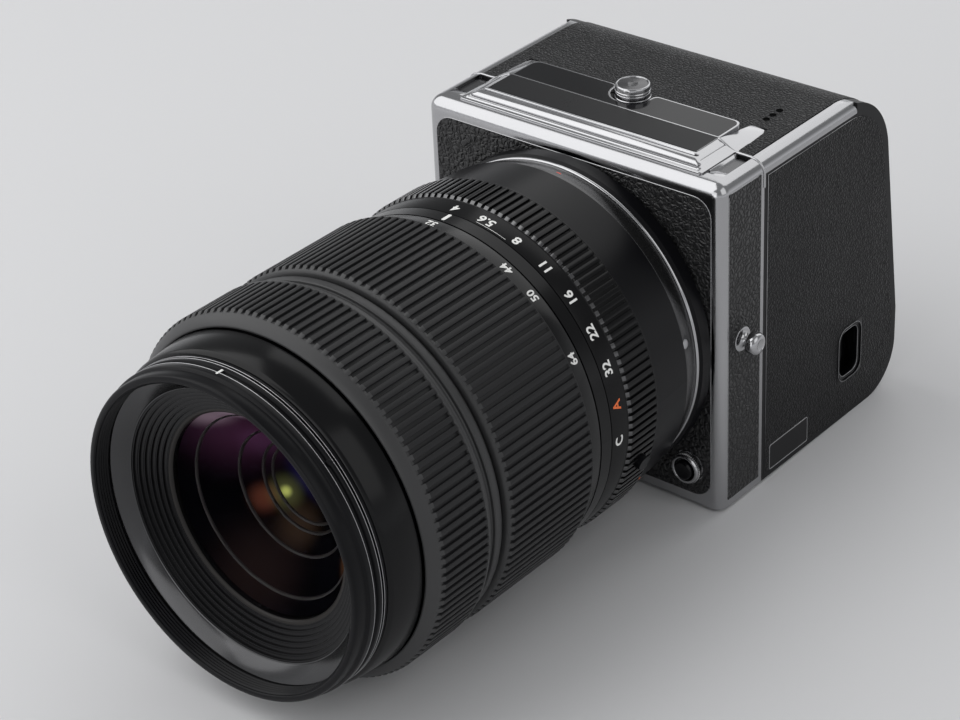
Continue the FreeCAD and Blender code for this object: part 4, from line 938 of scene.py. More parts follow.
@dataclass
class RibbedGrip:
    """A turned grip: a smooth sleeve, square ribs, and sloping tips that run down to a lip."""

    name: str
    body: str
    node: str
    rear: float
    front: float
    root: float
    crest: float
    count: int
    sleeve: Sequence[Spot]
    lip: Sequence[Spot]
    finish: Finish = GRIP_RUBBER
    slot: str = "grip_rubber"
    share: float = 0.56
    sunk: float = 0.2
    slope: float = 0.8
    edge: float = 0.12
    tip_finish: Finish = LIT_LIP_RUBBER
    lip_finish: Finish = LIT_LIP_RUBBER
    pocket: Pocket | None = None

    def build(self) -> None:
        """Build the sleeve with its ribs, which stands for the plain node, the tips and the lip."""
        sleeve = lathe(self.name, self.sleeve, SLEEVE_STEPS, bevel=0.06)
        ribs = self._ribs(self.name + "_ribs", self.rear, self.front, 0.0)
        if self.pocket:
            self.pocket.sink(sleeve, self.root)
            self.pocket.sink(ribs, self.root)
        piece = settle(joined([sleeve, ribs], self.name), 40.0)
        dress(piece, self.finish, self.body, self.slot, self.node)
        tips = self._ribs(self.name + "_tips", self.front, self.front + self.slope,
                          self.crest - self.root)
        dress(settle(tips, 30.0), self.tip_finish, self.body, self.slot)
        lip = lathe(self.name + "_lip", self.lip, RING_STEPS, bevel=0.04)
        dress(lip, self.lip_finish, self.body, self.slot)

    def _ribs(self, name: str, rear: float, front: float, drop: float) -> Piece:
        """Shape one rib and copy it round the lens.

        Args:
            name: The name of the whole.
            rear: Where the rib starts, ahead of the body.
            front: Where it ends.
            drop: How far its top falls towards the front.
        Returns:
            All the ribs as one object.
        """
        width = self.share * FULL_TURN * self.crest / self.count * MM
        low, high = on_lens(self.root - self.sunk, front), on_lens(self.crest, rear)
        low.x, high.x = -width / 2, width / 2
        rib = block(name, low, high)
        edit(rib)
        middle, top, foot = (low.y + high.y) / 2, high.z - TINY, low.z + TINY
        pick_edges(rib, lambda a, b: min(a.z, b.z) > top and max(a.y, b.y) < middle)
        bpy.ops.transform.translate(value=(0, 0, -drop * MM))
        pick_edges(rib, lambda a, b: min(a.z, b.z) > foot and abs(a.y - b.y) > TINY)
        bpy.ops.mesh.bevel(offset=self.edge * MM, segments=2)
        bpy.ops.object.mode_set(mode="OBJECT")
        copies_round(rib, self.count)
        return rib


@dataclass
class TurningRings:
    """The aperture, zoom and focus rings with their bands and printed numbers."""

    root: float = 46.15
    crest: float = 46.8
    lip: float = 46.5
    bore: float = 43.5
    band: float = 45.0
    line_sunk: float = 0.1
    line_proud: float = 0.03
    line_rounding: float = 0.3

    def build(self) -> None:
        """Build the grips, bands, numbers and lines."""
        self._zoom()
        self._focus()
        self._aperture()
        self._numbers()
        self._lines()

    def _zoom(self) -> None:
        """The wide zoom grip with its ledges, and its number band."""
        sleeve = [(self.bore, 53.0), (self.crest - 0.1, 53.0), (self.crest - 0.1, 53.3),
                  (self.root, 53.6), (self.root, 82.3), (self.bore, 82.3)]
        lip = [(self.bore, 82.25), (self.root + 0.02, 82.25), (self.root + 0.02, 82.85),
               (self.root - 0.4, 83.2), (self.root - 0.9, 83.4), (self.bore, 83.4)]
        RibbedGrip("zoom_grip", "zoom", "zoom_ring", 53.3, 82.05, self.root, self.crest, 122,
                   sleeve, lip).build()
        band = [(self.bore, 47.8), (44.9, 47.8), (self.band, 48.0), (self.band, 52.6),
                (45.3, 53.1), (self.bore, 53.1)]
        dress(lathe("zoom_band", band, RING_STEPS, bevel=0.06), BAND_BLACK, "zoom", "band_black")

    def _focus(self) -> None:
        """The focus grip with its lips, and the stepped band behind it."""
        sleeve = [(self.bore, 90.9), (self.root, 90.9), (self.root, 106.3), (self.bore, 106.3)]
        lip = [(self.bore, 106.2), (self.root + 0.02, 106.2), (self.root + 0.02, 107.0),
               (45.75, 107.5), (45.1, 108.3), (44.3, 108.95), (43.9, 109.2), (self.bore, 109.2)]
        RibbedGrip("focus_grip", "focus", "focus_ring", 91.2, 106.0, self.root, self.crest, 126,
                   sleeve, lip, slope=1.0).build()
        rear = [(self.bore, 90.3), (self.lip - 0.4, 90.3), (self.crest - 0.05, 90.6),
                (self.crest - 0.05, 91.15), (self.root, 91.4), (self.bore, 91.4)]
        dress(lathe("focus_rear_lip", rear, RING_STEPS, bevel=0.05), LIT_LIP_RUBBER, "focus",
              "grip_rubber")
        gap = [(43.3, 83.75), (44.4, 83.75), (44.5, 84.3), (45.1, 84.5), (45.3, 84.9),
               (45.3, 86.6), (45.1, 86.9), (44.5, 87.0), (44.4, 87.5), (44.5, 88.0), (45.0, 88.2),
               (45.2, 88.6), (45.2, 89.4), (44.9, 89.7), (44.4, 89.95), (43.3, 89.95)]
        dress(lathe("gap_band", gap, RING_STEPS, bevel=0.06), LIT_LIP_RUBBER, "camera",
              "barrel_black", "gap_ring")

    def _aperture(self) -> None:
        """The narrow aperture grip with its metal tips and the lock button's pocket."""
        sleeve = [(self.bore, 26.5), (45.6, 26.5), (45.6, 26.75), (45.1, 27.0), (45.1, 36.6),
                  (self.bore, 36.6)]
        lip = [(self.bore, 36.5), (45.12, 36.5), (45.12, 37.3), (self.band, 37.45),
               (self.band, 43.4), (self.bore, 43.4)]
        RibbedGrip("aperture_grip", "aperture", "aperture_ring", 26.9, 36.5, 45.1, 45.7, 136,
                   sleeve, lip, BAND_BLACK, "band_black", share=0.6, slope=0.75, edge=0.09,
                   tip_finish=TIP_GLINT_METAL, lip_finish=BAND_BLACK,
                   pocket=Pocket(2.05, 107.0, 31.0)).build()

    def _numbers(self) -> None:
        """The stops and the focal lengths."""
        stops = ["4", "5.6", "8", "11", "16", "22", "32"]
        marks = [Mark(stop, -2.5 + 11.85 * index) for index, stop in enumerate(stops)]
        marks += [Mark("A", 80.7, MARK_ORANGE), Mark("C", 92.8)]
        Numerals("aperture_mark", "aperture", self.band, 40.6, 2.6, marks).build()
        lengths = [Mark("32", -2.3), Mark("44", 27.0), Mark("50", 38.2), Mark("64", 60.1)]
        Numerals("zoom_mark", "zoom", self.band, 49.7, 2.15, lengths).build()

    def _line(self, name: str, body: str, finish: Finish, angle: float, rear: float,
              front: float, width: float, radius: float) -> None:
        """A printed line along the lens.

        Args:
            name: Its name.
            body: The body it moves with.
            finish: Its paint.
            angle: Its place round the lens in degrees.
            rear: Where it starts, ahead of the body.
            front: Where it ends.
            width: Its width.
            radius: The radius of the surface under it.
        """
        low, high = on_lens(radius - self.line_sunk, front), on_lens(radius + self.line_proud, rear)
        low.x, high.x = -width * MM / 2, width * MM / 2
        piece = block(name, low, high)
        edit(piece)
        pick_edges(piece, lambda a, b: abs(a.z - b.z) > TINY)
        bpy.ops.mesh.bevel(offset=self.line_rounding * width * MM, segments=3)
        bpy.ops.mesh.select_all(action="SELECT")
        bpy.ops.transform.rotate(value=-math.radians(angle), orient_axis="Y",
                                 center_override=at(0, 0, AXIS_Z))
        bpy.ops.object.mode_set(mode="OBJECT")
        dress(settle(piece), finish, body, "band_black")

    def _lines(self) -> None:
        """The index bar, the alignment marks and the thin arc under the stops."""
        self._line("index_bar", "camera", MARK_WHITE, -1.0, 43.9, 47.0, 0.95, self.band)
        self._line("barrel_tick", "camera", MARK_ORANGE, 124.0, 22.6, 24.8, 0.7, 44.9)
        self._line("adapter_tick", "camera", MARK_RED, 6.0, 9.6, 11.2, 1.6, 43.35)
        self._line("hood_tick", "front_group", MARK_WHITE, 0.0, 121.5, 124.1, 0.6, 41.42)
        thin = arc((0.0, 0.0), self.band + 0.01, 82.5, 71.2, 16)
        wire = bead("index_line", [at(x, -42.7, AXIS_Z + z) for x, z in thin], 0.06,
                    round_steps=1)
        dress(wire, MARK_WHITE, "aperture", "band_black")


@dataclass
class FrontGroup:
    """The sliding front of the lens: name band, hood grooves, rim, baffle and glass."""

    body: str = "front_group"
    sleeve: float = 41.2
    thread_pitch: float = 0.75
    thread_turns: int = 5
    baffle_steps: int = 7
    baffle_start: Spot = (34.1, 121.5)
    baffle_stride: Spot = (1.12, 0.76)
    lens_edge: float = 26.05
    lens_front: float = 117.4
    lens_bulge: float = 1.8
    lens_shell: float = 0.5
    lens_steps: int = 10
    catch_angle: float = 46.0

    def build(self) -> None:
        """Build the barrel, the threads, the baffle and what shows in the glass."""
        self._barrel()
        self._catch()
        self._thread()
        self._baffle()
        self._inside()

    def _barrel(self) -> None:
        """The barrel with its glossy band, bright grooves and rim."""
        band = [(39.8, 52.0), (self.sleeve, 52.0), (self.sleeve, 109.7), (43.25, 109.7),
                (43.3, 110.0), (42.5, 118.2), (42.1, 118.8), (41.5, 119.2), (39.8, 119.2)]
        dress(lathe("name_band", band, RING_STEPS, bevel=0.1), BAND_BLACK, self.body,
              "barrel_black", "front_barrel")
        hood = [(39.8, 119.1), (41.35, 119.1), (41.5, 119.4), (41.5, 120.2), (40.9, 120.4),
                (40.9, 120.9), (41.5, 121.1), (41.5, 122.0), (40.8, 122.25), (40.8, 123.3),
                (41.45, 123.5), (41.45, 124.9), (41.2, 125.2), (40.75, 125.4), (40.75, 126.2),
                (40.75, 127.9), (40.5, 128.5), (40.1, 128.7), (39.2, 128.7), (38.9, 128.4),
                (38.8, 124.1), (39.8, 124.1)]
        dress(lathe("hood_band", hood, RING_STEPS, bevel=0.07), BARREL_BLACK, self.body,
              "barrel_black")
        for index, (radius, ahead) in enumerate(((41.5, 120.25), (41.5, 121.05),
                                                 (41.45, 123.45))):
            spots = arc((0.0, 0.0), radius, 0, 360, 180)[:-1]
            wire = bead("hood_edge_%d" % index, [at(x, -ahead, AXIS_Z + z) for x, z in spots],
                        0.07, closed=True, round_steps=1)
            dress(wire, SATIN_CHROME, self.body, "barrel_black")

    def _catch(self) -> None:
        """The small catch on the hood's shoulder."""
        section = [(0.0, -1.2), (0.9, -1.2), (0.9, 0.35), (0.7, 0.6), (0.3, 0.65), (0.0, 0.65)]
        catch = lathe("hood_catch", section, CATCH_STEPS, on_lens(40.9, 121.7, self.catch_angle),
                      outward(self.catch_angle), smooth=60.0)
        dress(catch, BARREL_BLACK, self.body, "barrel_black")

    def _thread(self) -> None:
        """The filter thread inside the rim."""
        section = [(38.9, 124.35)]
        for index in range(self.thread_turns):
            ahead = 124.4 + self.thread_pitch * index
            section += [(38.85, ahead), (38.5, ahead + 0.3), (38.5, ahead + 0.38)]
        section += [(38.85, 128.2), (38.9, 128.2)]
        dress(lathe("filter_thread", section), BARREL_BLACK, self.body, "barrel_black")

    def _baffle(self) -> None:
        """The wide satin cone and the stepped rings down to the glass."""
        cone = [(39.75, 107.7), (39.75, 124.1), (38.6, 124.1), (38.4, 124.0), (34.75, 121.95),
                (34.6, 121.7), (34.3, 121.6), (34.3, 107.7)]
        dress(lathe("baffle_cone", cone, RING_STEPS, bevel=0.08), SATIN_CONE, self.body,
              "matte_black", "front_baffle")
        section = [(34.4, 107.7), (34.4, 121.5)]
        for index in range(self.baffle_steps):
            radius, ahead = (start - index * stride for start, stride
                             in zip(self.baffle_start, self.baffle_stride))
            section += [(radius, ahead), (radius - 0.22, ahead - 0.05),
                        (radius - 0.3, ahead - 0.72), (radius - 1.05, ahead - 0.8)]
        section += [(26.2, 116.3), (26.1, 116.0), (26.1, 107.7)]
        dress(lathe("baffle_steps", section, RING_STEPS, bevel=0.05), STEP_GREY, self.body,
              "matte_black")
        ring = [(28.6, 116.4), (28.3, 116.9), (26.6, 116.7), (26.15, 116.3), (26.15, 115.6),
                (28.6, 115.6)]
        dress(lathe("glass_retainer", ring, bevel=0.05), CELL_BLACK, self.body, "matte_black")

    def _inside(self) -> None:
        """The bowl with its painted coating reflections, the cell rings seen through the front
        glass, and the glass.
        """
        bowl = [(26.0, 114.9), (25.9, 114.8), (24.0, 112.6), (21.7, 110.0), (18.5, 107.0),
                (15.8, 104.5), (13.0, 102.2), (10.5, 100.0), (7.5, 98.2), (4.0, 97.0),
                (1.5, 96.65), (0.0, 96.6), (0.0, 94.8), (25.3, 94.8), (25.3, 108.0),
                (26.0, 108.0)]
        dress(lathe("reflection_painted_bowl", bowl, GLASS_STEPS), PAINTED_REFLECTION_BOWL, self.body, "clear_glass",
              "inner_elements")
        for index, (radius, ahead) in enumerate((
                (22.9, 111.4), (15.8, 104.55), (11.6, 101.0), (9.9, 99.6))):
            ring = [(radius + wide, ahead + rise) for wide, rise in (
                (-0.05, -0.4), (0.0, 0.1), (0.15, 0.35), (0.35, 0.5), (0.55, 0.56), (0.6, 0.5),
                (0.6, -0.4))]
            dress(lathe("cell_ring_%d" % index, ring, GLASS_STEPS), CELL_BLACK, self.body,
                  "cell_aluminium")
        steps = self.lens_steps
        front = [(self.lens_edge * step / steps,
                  self.lens_front - self.lens_bulge * (step / steps) ** 2)
                 for step in range(steps + 1)]
        rear = [(radius, ahead - self.lens_shell) for radius, ahead in reversed(front)]
        dress(lathe("front_lens", front + rear, GLASS_STEPS, smooth=60.0), FRONT_GLASS,
              self.body, "coated_glass", "front_element")


@dataclass
class Adapter:
    """The ring between body and lens: its grey cone, its bright line and the lens catch."""

    bore: float = 41.8
    catch_angle: float = 78.0

    def build(self) -> None:
        """Build the cone, the line and the catch."""
        cone = [(self.bore, 6.3), (42.3, 6.3), (42.6, 6.8), (43.6, 10.8), (43.9, 12.1),
                (43.8, 12.35), (self.bore, 12.35)]
        dress(lathe("adapter_cone", cone, RING_STEPS, bevel=0.06), CONE_GREY, "camera",
              "adapter_black")
        line = [(self.bore, 5.2), (42.5, 5.2), (42.75, 5.5), (42.75, 5.9), (42.5, 6.25),
                (self.bore, 6.25)]
        dress(lathe("adapter_line", line, RING_STEPS, bevel=0.1), CHROME, "camera",
              "chrome_trim")
        section = [(0.0, -1.0), (1.3, -1.0), (1.3, 0.1), (1.1, 0.35), (0.6, 0.5), (0.0, 0.52)]
        catch = lathe("lens_catch", section, CATCH_STEPS, on_lens(43.5, 11.4, self.catch_angle),
                      outward(self.catch_angle), smooth=60.0)
        dress(catch, SATIN_CHROME, "camera", "adapter_black")


@dataclass
class Roof:
    """The stepped chrome molding, the dark plates and the release knob."""

    foot_half: float = 37.2
    front: float = 3.0
    depth: float = 5.5
    underside: float = -0.3
    side_foot: float = 0.38
    side_slope: float = 0.385
    corner: float = 0.9
    corner_steps: int = 5
    level_end: float = 13.0
    plate_half: float = 32.0
    plate_front: float = 8.5
    rise: float = 2.5
    knob_y: float = 26.3
    notch: float = 5.7
    notch_blend: float = 1.4
    plate_corner: float = 2.2
    rear: float = 28.0

    def build(self) -> None:
        """Build the molding, the plates' edges, the seam bead and the knob."""
        self._molding()
        for side, tag in ((1, "right"), (-1, "left")):
            self._recess(side, tag)
        for side, tag in ((1, "right"), (-1, "left")):
            self._tail(side, tag)
        self._rear_plate()
        self._plate_edges()
        self._seam()
        self._knob()

    def _profile(self) -> list[Triple]:
        """The section of the molding.

        Returns:
            Inset from the foot, rise at the front and rise of the plain sides, row by row.
        """
        front = [(0.0, 0.38), (0.1, 0.5), (0.72, 0.58), (0.82, 0.5), (0.86, 0.14), (1.1, 0.14),
                 (1.14, 0.58), (1.26, 0.72), (1.9, 0.8), (2.0, 0.74), (2.04, 0.36), (2.26, 0.36),
                 (2.3, 1.0), (2.42, 1.24), (2.72, 1.5), (3.1, 1.76), (3.5, 1.96), (3.9, 2.06),
                 (4.14, 2.06), (4.22, 1.96), (4.25, 1.6), (4.52, 1.6), (4.55, 2.26),
                 (4.68, 2.48), (5.2, 2.5), (5.34, 2.42), (5.4, 2.1), (5.45, 2.0)]
        sides = {0.86: 0.5, 1.1: 0.6, 3.1: 1.38, 5.4: 2.1, 5.45: 2.0}
        spots = [(inset, rise, sides.get(inset, self.side_foot + self.side_slope * inset))
                 for inset, rise in front]
        first, last = ((inset, self.underside, self.underside)
                       for inset in (front[0][0], front[-1][0]))
        return [first, *spots, last]

    def _loop(self, inset: float, rise: float, side_rise: float) -> Piece:
        """One line of the molding, from the seam round the front to the seam again.

        Args:
            inset: How far it lies inside the foot.
            rise: Its height over the roof at the front.
            side_rise: Its height at the sides.
        Returns:
            The line.
        """
        half = self.foot_half - inset * (self.foot_half - self.plate_half) / self.depth
        front, corner, steps = self.front + inset, self.corner, self.corner_steps
        right = [(half, SEAM - 0.02, side_rise), (half, self.level_end, side_rise)]
        turn = arc((half - corner, front + corner), corner, 0, -90, steps)
        right += [(x, y, side_rise + (rise - side_rise) * step / steps)
                  for step, (x, y) in enumerate(turn)]
        spots = right + [(-x, y, z) for x, y, z in reversed(right)]
        return chain("molding_loop", [at(x, y, TOP + z) for x, y, z in spots], closed=False)

    def _molding(self) -> None:
        """Level lines of the section bridged into one swept molding."""
        loops = [self._loop(*spot) for spot in self._profile()]
        deselect()
        piece = joined(loops, "roof_molding_steps")
        edit(piece)
        bpy.ops.mesh.bridge_edge_loops()
        bpy.ops.mesh.select_all(action="DESELECT")
        bpy.ops.mesh.select_non_manifold()
        bpy.ops.mesh.edge_face_add()
        close_up(piece)
        dress(settle(piece, 32.0), CHROME, "camera", "chrome_trim", "roof_molding")

    def _recess(self, side: int, tag: str) -> None:
        """The sloping side of a recess beside the molding, its ramp, and a dark floor that paints
        the shade in the recess.

        Args:
            side: 1 for +X, -1 for -X.
            tag: The side's name.
        """
        slope = plate("recess_slope_" + tag, [at(side * x, 6.2, z) for x, z in (
            (37.2, 90.9), (37.5, 90.9), (38.5, 89.98), (38.5, 89.93), (37.45, 89.93),
            (37.2, 90.4))], Vector((0, (SEAM - 6.5) * MM, 0)), bevel=0.03)
        dress(slope, CHROME, "camera", "chrome_trim")
        ramp = plate("recess_ramp_" + tag, [at(side * 37.46, y, z) for y, z in (
            (5.03, 90.78), (6.5, 90.55), (8.8, 90.0), (8.8, 89.93), (5.03, 89.93))],
            Vector((side * 4.48 * MM, 0, 0)), bevel=0.03, smooth=60.0)
        dress(ramp, CHROME, "camera", "chrome_trim")
        # A dark chrome sheet on the recess floor: painted shade.
        floor = plate("recess_floor_" + tag, [at(side * x, y, 89.92) for x, y in (
            (38.45, 8.7), (41.9, 8.7), (41.9, 17.3), (38.45, 17.3))],
            Vector((0, 0, 0.1 * MM)), bevel=0.03)
        dress(floor, SHADED_CHROME, "camera", "chrome_trim")

    def _tail(self, side: int, tag: str) -> None:
        """The molding's slope behind the seam, which sinks into the leather.

        Args:
            side: 1 for +X, -1 for -X.
            tag: The side's name.
        """
        upper = [at(side * x, y, z) for x, y, z in (
            (32.08, SEAM + 0.05, 93.28), (32.08, 30.6, 91.35), (32.5, 31.6, 91.2),
            (36.1, 31.2, 91.06), (36.9, 29.6, 91.04), (37.9, SEAM + 0.05, 90.9))]
        tail = plate("roof_tail_" + tag, upper, Vector((0, 0, -0.5 * MM)), bevel=0.16,
                     angle=25.0, smooth=40.0)
        nodes = ("roof_tails",) if side == 1 else ()
        dress(tail, CHROME, "camera", "chrome_trim", *nodes)

    def _plate_outline(self, inset: float, z: float) -> list[Vector]:
        """The rear plate's outline with its rounded corners and the knob's notch.

        Args:
            inset: How far it lies inside the plate's edge.
            z: Its height.
        Returns:
            Its spots in order.
        """
        half, rear = self.plate_half - inset, self.rear - inset
        corner, notch, blend = self.plate_corner, self.notch + inset, self.notch_blend
        centre_y = rear - blend
        reach = math.sqrt((notch + blend) ** 2 - (centre_y - self.knob_y) ** 2)
        lean = math.degrees(math.atan2(centre_y - self.knob_y, reach))
        spots = [(-half, SEAM + inset + 0.2), (half, SEAM + inset + 0.2)]
        spots += arc((half - corner, rear - corner), corner, 0, 90, 6)
        spots += arc((reach, centre_y), blend, 90, 180 + lean, 5)
        spots += arc((0.0, self.knob_y), notch, lean, -180 - lean, 22)[1:-1]
        spots += arc((-reach, centre_y), blend, -lean, 90, 5)
        spots += arc((-half + corner, rear - corner), corner, 90, 180, 6)
        return [at(x, y, z) for x, y in spots]

    def _rear_plate(self) -> None:
        """The glossy plate behind the seam inside its bright edge."""
        edge = plate("rear_plate_edge", self._plate_outline(0.0, TOP),
                     Vector((0, 0, (self.rise - 0.02) * MM)), bevel=0.12)
        dress(edge, CHROME, "camera", "chrome_trim", "roof_rear_plate")
        gloss = plate("rear_plate_gloss", self._plate_outline(0.42, TOP + 1.0),
                      Vector((0, 0, (self.rise - 1.0) * MM)), bevel=0.08)
        dress(gloss, GLOSS_ENAMEL, "camera", "black_enamel")

    def _plate_edges(self) -> None:
        """The thin bright line along each side of the front plate."""
        top = TOP + self.rise - 0.03
        for side in (1, -1):
            x = side * (self.plate_half - 0.05)
            line = bead("plate_side_line_%d" % (side + 1),
                        [at(x, self.plate_front + 0.2, top), at(x, SEAM - 0.2, top)], 0.09)
            dress(line, CHROME, "camera", "chrome_trim")

    def _seam(self) -> None:
        """The raised bead along the joint between body and back, over the roof's sides."""
        spots = [(32.1, 93.2), (32.8, 93.1), (35.8, 91.5), (37.0, 91.05), (38.2, 90.95),
                 (41.6, 90.95)] + arc((42.1, 87.4), 3.42, 90, 0, 6) + [(45.52, 84.0)]
        for side in (1, -1):
            line = bead("seam_bead_%d" % (side + 1),
                        [at(side * x, SEAM - 0.05, z) for x, z in spots], 0.33)
            dress(line, CHROME, "camera", "chrome_trim")

    def _knob(self) -> None:
        """The two-tiered release knob with its dark dished top."""
        centre, axis = at(0, self.knob_y, 0), Vector((0, 0, 1))
        tiers = [
            (0.0, 86.0), (2.0, 86.0), (2.0, 92.3), (4.5, 92.3), (4.6, 92.4), (4.6, 92.6),
            (4.4, 92.75), (4.4, 93.75), (4.3, 93.9), (4.1, 93.95), (4.1, 94.15), (4.35, 94.2),
            (4.55, 94.35), (4.55, 94.5), (4.4, 94.65), (4.4, 95.6), (4.3, 95.85), (4.1, 96.0),
            (3.95, 96.0), (3.85, 95.92), (3.82, 95.72), (0.0, 95.72)]
        dress(lathe("knob_tiers", tiers, KNOB_STEPS, centre, axis, bevel=0.04), CHROME, "knob",
              "chrome_trim", "release_knob")
        disc = [(0.0, 95.6), (3.8, 95.6), (3.8, 95.76), (3.6, 95.8), (1.5, 95.76),
                (1.4, 95.86), (1.15, 95.86), (1.05, 95.76), (0.0, 95.8)]
        dress(lathe("knob_disc", disc, DISC_STEPS, centre, axis, bevel=0.02), SHADED_CHROME, "knob",
              "black_enamel")


@dataclass
class BodyTrim:
    """Strap lugs, front controls and the bright edges round the body's leather."""

    control_x: float = 35.7
    control_z: float = 10.2
    lug_y: float = 8.3
    lug_z: float = 46.4
    teeth: int = 48

    def build(self) -> None:
        """Build the lugs, the wheel, the buttons and the leather's edges."""
        self._lugs()
        self._wheel()
        self._buttons()
        self._leather_edges()

    def _lugs(self) -> None:
        """Two mushroom lugs on flared feet."""
        section = [
            (0.0, -3.0), (1.0, -3.0), (1.0, 0.0), (3.2, 0.0), (3.2, 0.2), (2.95, 0.4),
            (2.6, 0.35), (2.2, 0.4), (1.7, 0.75), (1.4, 1.2), (1.3, 1.6), (1.3, 1.9),
            (1.7, 2.05), (2.4, 2.25), (2.8, 2.65), (2.95, 3.2), (2.95, 4.1), (2.8, 4.75),
            (2.4, 5.2), (1.9, 5.45), (1.6, 5.5), (1.45, 5.35), (0.7, 5.25), (0.0, 5.25)]
        pair = [lathe("lug", section, BUTTON_STEPS, at(side * 45.7, self.lug_y, self.lug_z),
                      Vector((side, 0, 0)), smooth=50.0) for side in (1, -1)]
        dress(joined(pair, "lug_pair"), CHROME, "camera", "chrome_trim", "strap_lugs")

    def _wheel(self) -> None:
        """The knurled wheel round the shutter button."""
        centre = at(self.control_x, 0, self.control_z)
        section = [(3.0, -0.2), (4.0, -0.2), (4.0, 1.7), (4.05, 1.95), (3.85, 2.3), (3.6, 2.4),
                   (3.25, 2.4), (3.05, 2.25), (3.0, 2.0)]
        wheel = lathe("wheel_ring", section, KNOB_STEPS, centre, Vector((0, -1, 0)), bevel=0.04)
        tooth = block("tooth", centre + Vector((-0.16, -1.75, 3.9)) * MM,
                      centre + Vector((0.16, -0.05, 4.18)) * MM)
        bevel_edges(tooth, 0.08, segments=1)
        copies_round(tooth, self.teeth, centre)
        piece = settle(joined([wheel, tooth], "knurled_wheel"), 40.0)
        dress(piece, CHROME, "control_wheel", "chrome_trim", "control_wheel")

    def _buttons(self) -> None:
        """The shutter button in the wheel and the lens release on the other side."""
        shutter = [(0.0, -3.4), (1.5, -3.4), (1.5, 1.4), (2.6, 1.4), (2.6, 2.6), (2.5, 2.95),
                   (2.2, 3.15), (1.6, 3.05), (0.8, 2.95), (0.0, 2.92)]
        release = [(0.0, -3.4), (1.5, -3.4), (1.5, 1.0), (3.0, 1.0), (3.0, 1.8), (2.85, 2.05),
                   (2.5, 2.2), (1.9, 2.1), (1.0, 2.0), (0.0, 1.98)]
        for name, section, side, finish, body, node in (
                ("shutter_cap", shutter, 1, GLOSS_ENAMEL, "shutter", "shutter_button"),
                ("release_cap", release, -1, CHROME, "lens_release", "lens_release_button")):
            cap = lathe(name, section, BUTTON_STEPS, at(side * self.control_x, 0, self.control_z),
                        Vector((0, -1, 0)), bevel=0.05, smooth=50.0)
            dress(cap, finish, body, "chrome_trim", node)

    def _leather_edges(self) -> None:
        """Thin bright beads where the housing meets its leather."""
        front = rounded((-42.25, 2.65), (42.25, 86.55), 5.0)
        line = bead("front_leather_edge", [at(x, -0.02, z) for x, z in front], 0.1, closed=True,
                    round_steps=2)
        dress(line, CHROME, "camera", "chrome_trim")
        side_edge = rounded((2.85, 2.25), (15.95, 87.95), 1.0, 3)
        for side in (1, -1):
            line = bead("side_leather_edge_%d" % (side + 1),
                        [at(side * SIDE, y, z) for y, z in side_edge], 0.09, closed=True,
                        round_steps=2)
            dress(line, CHROME, "camera", "chrome_trim")


